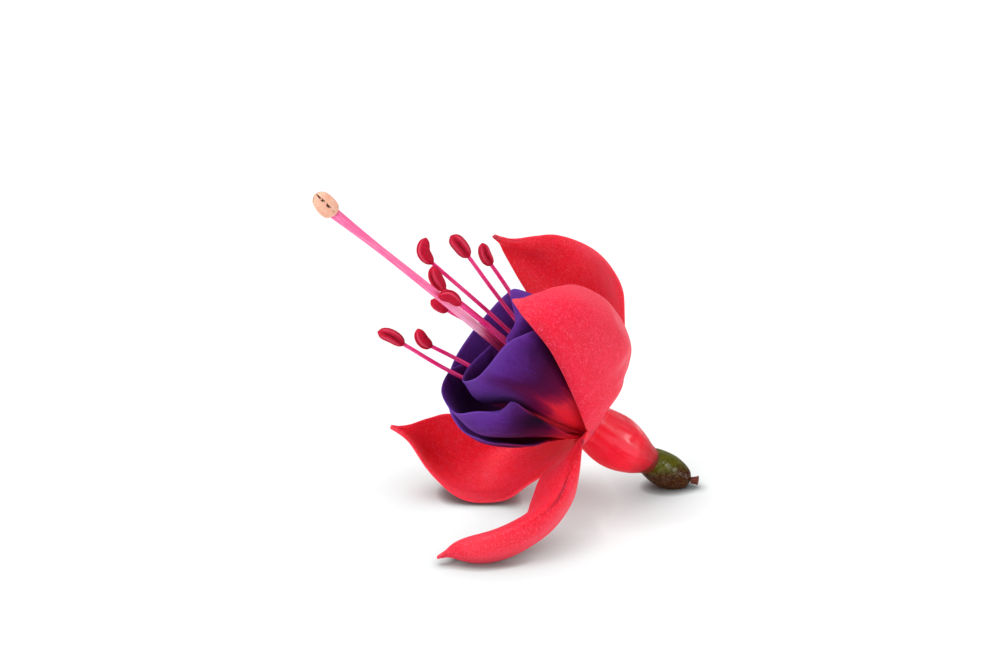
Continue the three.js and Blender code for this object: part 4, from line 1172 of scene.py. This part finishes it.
def anther_skin(colours):
    """Crimson pollen sacs: grained all over, with painted shade between the grains, dark along the
    seam where they will open, partly as painted shade in its groove, and lighter on the lips beside
    it as a painted highlight.
    """
    skin = Skin("anther_skin", colours.anther, Specular_IOR_Level=0.12)
    spot = skin.spot()
    seam = skin.attribute("seam")
    grains = skin.cells(spot, 6.0)
    cloud = skin.noise(spot, 1.4, 3.0, 0.6)
    skin.lay(skin.step(cloud, 0.38, 0.70) * 0.6, srgb(222, 28, 68))
    # Darker between the grains, where the bump is lowest: painted shade.
    skin.lay(skin.step(grains, 0.25, 0.60) * 0.45, srgb(140, 10, 36))
    # Dark along the seam: partly the seam's own colour, partly painted shade in its groove.
    skin.lay(skin.step(seam, 0.35, 0.9) * 0.75, srgb(104, 8, 26))
    # Lighter on the lips beside the seam: a painted highlight.
    skin.lay(skin.step(seam, -0.30, -0.80) * 0.45, srgb(240, 84, 116))
    return skin.finished(Roughness=0.5 + 0.2 * cloud, Normal=skin.bump(1 - grains, 0.05, 0.8))


def make_filament(number, foot, way, end, radius, material):
    """A filament: a tapering thread from its foot, past a point on its way, into its anther."""
    places = np.linspace(0, 1, FILAMENT_RINGS)
    thick, thin = FILAMENT_TAPER
    taper = (thick - (thick - thin) * places)[:, None]
    body = radius * taper * np.ones((1, FILAMENT_SIDES))
    make_round(f"filament_{number}_thread", "filament", material,
               smooth_line([foot, way, end], places), body, THROAT_UP, f"filament_{number}")


def make_anther(number, sac, radius, seam_turn, material):
    """An anther: its radius is that of its stations, less a groove along the seam on both sides
    with a low lip beside it, each a bell of the angle from the seam."""
    places = end_places(ANTHER_RINGS)
    turns = ring_turns(ANTHER_SIDES)[None]
    apart = np.abs(np.angle(np.exp(1j * (turns - math.radians(seam_turn)))))
    middle = np.sin(math.pi * places)[:, None] ** 0.5
    from_seam = np.stack([apart, math.pi - apart])
    seam = np.exp(-((from_seam / GROOVE_WIDTH) ** 2)).max(0) * middle
    lips = np.exp(-(((from_seam - LIP_TURN) / LIP_WIDTH) ** 2)).sum(0) * middle
    lumps = ANTHER_LUMPS * ring_ripples(turns, 5, ANTHER_SEED + number, 5 * places[:, None])
    body = radius * stations(ANTHER_RADII, places) * rounded_ends(places, ANTHER_ROUNDING)
    body = body[:, None] * (1 - GROOVE_DEPTH * seam + LIP_HEIGHT * lips + lumps)
    make_round(f"anther_{number}_sac", "anther", material, smooth_line(sac, places), body,
               TOWARDS_VIEWER, f"anther_{number}", seam=(seam - lips, [0, 0]))


class FUCHSIA_OT_make_stamens(bpy.types.Operator):
    """Make the eight stamens, each a filament with an anther at its end"""

    bl_idname = "fuchsia.make_stamens"
    bl_label = "Stamens"

    def execute(self, context):
        colours = context.scene.fuchsia_colours
        threads, sacs = filament_skin(colours), anther_skin(colours)
        radius = context.scene.fuchsia_sizes.filament_radius
        for number, (turn, way, sac, sac_radius, seam_turn) in enumerate(STAMENS, 1):
            foot = throat_arc(turn, *STAMEN_RING)
            start, middle = np.array(sac[:2])
            end = start + SUNK * (middle - start)
            make_filament(number, foot, way, end, radius, threads)
            make_anther(number, sac, sac_radius, seam_turn, sacs)
        return {"FINISHED"}


# ---- stage
VIEW_TARGET = np.array([-15.2, 15.12, 0.0])  # the point of the bloom frame in the image's middle
# The lamps: the side that each shines from, the angle of its disc in degrees and its setting.
LAMPS = {
    "key_light": ((-0.30, 0.10, 0.95), 36, "key_light"),
    "left_light": ((-0.74, -0.57, 0.36), 60, "left_light"),
    "right_light": ((0.78, -0.60, 0.18), 60, "right_light"),
    "high_glint": ((-0.49, 0.0, 0.87), 18, "glints"),
    "low_glint": ((0.955, -0.22, 0.19), 18, "glints"),
    "back_light": ((0.30, 0.70, 0.64), 50, "back_light"),
}
# How far from the flower the floor still darkens under it, softly and then hard, in metres, and
# how strongly.
SHADES = ((0.012, 1.1), (0.0022, 2.2))
SHADE_SAMPLES = 16
FLOOR_HALF = 6.0
FLOOR_COLOUR = (0.28, 0.305, 0.305)
BLACK, WHITE = (0.0, 0.0, 0.0), (1.0, 1.0, 1.0)


def add_sun(name, side, spread, strength):
    """A soft even light from one side: a sun whose disc has the given angle, in radians."""
    light = bpy.data.lights.new(name, "SUN")
    light.angle, light.energy = spread, strength
    lamp = bpy.data.objects.new(name, light)
    lamp.rotation_euler = side.to_track_quat("Z", "Y").to_euler()
    bpy.context.scene.collection.objects.link(lamp)


def floor_skin(glow):
    """Matt white that glows a little, but less where the flower shuts the open air out."""
    skin = Skin("floor_paper", FLOOR_COLOUR, Roughness=0.9, Specular_IOR_Level=0.1,
                Emission_Strength=glow)
    settings = {"samples": SHADE_SAMPLES}
    shade, contact = (
        skin.node("ShaderNodeAmbientOcclusion", settings, {"Distance": reach}, "AO") ** power
        for reach, power in SHADES
    )
    return skin.finished(Emission_Color=skin.mix(shade * contact, BLACK, WHITE))


class FUCHSIA_OT_set_stage(bpy.types.Operator):
    """Lay the pale floor and set the lamps, the sky and the camera"""

    bl_idname = "fuchsia.set_stage"
    bl_label = "Stage"

    def execute(self, context):
        scene = context.scene
        settings = scene.fuchsia_stage
        target = Vector(placed(VIEW_TARGET))
        mesh = bpy.data.meshes.new("floor")
        corners = [(x * FLOOR_HALF, y * FLOOR_HALF, 0)
                   for x, y in ((-1, -1), (1, -1), (1, 1), (-1, 1))]
        mesh.from_pydata(corners, [], [(0, 1, 2, 3)])
        mesh.materials.append(floor_skin(settings.floor_glow))
        floor = bpy.data.objects.new("floor", mesh)
        scene.collection.objects.link(floor)
        for name, (side, spread, setting) in LAMPS.items():
            add_sun(name, Vector(side), math.radians(spread), getattr(settings, setting))
        sky = bpy.data.worlds.new("sky")
        sky.use_nodes = True
        background = sky.node_tree.nodes["Background"].inputs
        background["Color"].default_value = (1.0, 1.0, 1.0, 1.0)
        background["Strength"].default_value = settings.sky
        scene.world = sky
        scene.view_settings.view_transform = "Standard"
        camera = bpy.data.objects.new("camera", bpy.data.cameras.new("camera"))
        camera.data.lens = 100.0
        camera.data.sensor_width = 36.0
        camera.data.clip_start = 0.01
        height = settings.view_height
        back = Vector((0.0, -math.cos(height), math.sin(height)))
        camera.location = target + settings.view_distance * back
        camera.rotation_euler = back.to_track_quat("Z", "Y").to_euler()
        scene.collection.objects.link(camera)
        scene.camera = camera
        return {"FINISHED"}


# ---- panel
OPERATORS = (
    FUCHSIA_OT_make_sepals,
    FUCHSIA_OT_make_petals,
    FUCHSIA_OT_make_tube,
    FUCHSIA_OT_make_pistil,
    FUCHSIA_OT_make_stamens,
    FUCHSIA_OT_set_stage,
)


class FUCHSIA_PT_panel(bpy.types.Panel):
    """The settings and the steps of the flower"""

    bl_label = "Fuchsia flower"
    bl_idname = "FUCHSIA_PT_panel"
    bl_space_type = "VIEW_3D"
    bl_region_type = "UI"
    bl_category = "Fuchsia"

    def draw(self, context):
        scene = context.scene
        for group in (scene.fuchsia_sizes, scene.fuchsia_colours, scene.fuchsia_stage):
            box = self.layout.box()
            for name in group.__annotations__:
                box.prop(group, name)
        for operator in OPERATORS:
            self.layout.operator(operator.bl_idname)


GROUPS = {
    "fuchsia_sizes": FuchsiaSizes,
    "fuchsia_colours": FuchsiaColours,
    "fuchsia_stage": FuchsiaStage,
}


def register():
    for kind in (*GROUPS.values(), *OPERATORS, FUCHSIA_PT_panel):
        bpy.utils.register_class(kind)
    for name, kind in GROUPS.items():
        setattr(bpy.types.Scene, name, bpy.props.PointerProperty(type=kind))


def unregister():
    for name in GROUPS:
        delattr(bpy.types.Scene, name)
    for kind in reversed((*GROUPS.values(), *OPERATORS, FUCHSIA_PT_panel)):
        bpy.utils.unregister_class(kind)


def main():
    """Makes every piece and the stage."""
    register()
    bpy.ops.fuchsia.make_sepals()
    bpy.ops.fuchsia.make_petals()
    bpy.ops.fuchsia.make_tube()
    bpy.ops.fuchsia.make_pistil()
    bpy.ops.fuchsia.make_stamens()
    bpy.ops.fuchsia.set_stage()


if __name__ == "__main__":
    main()
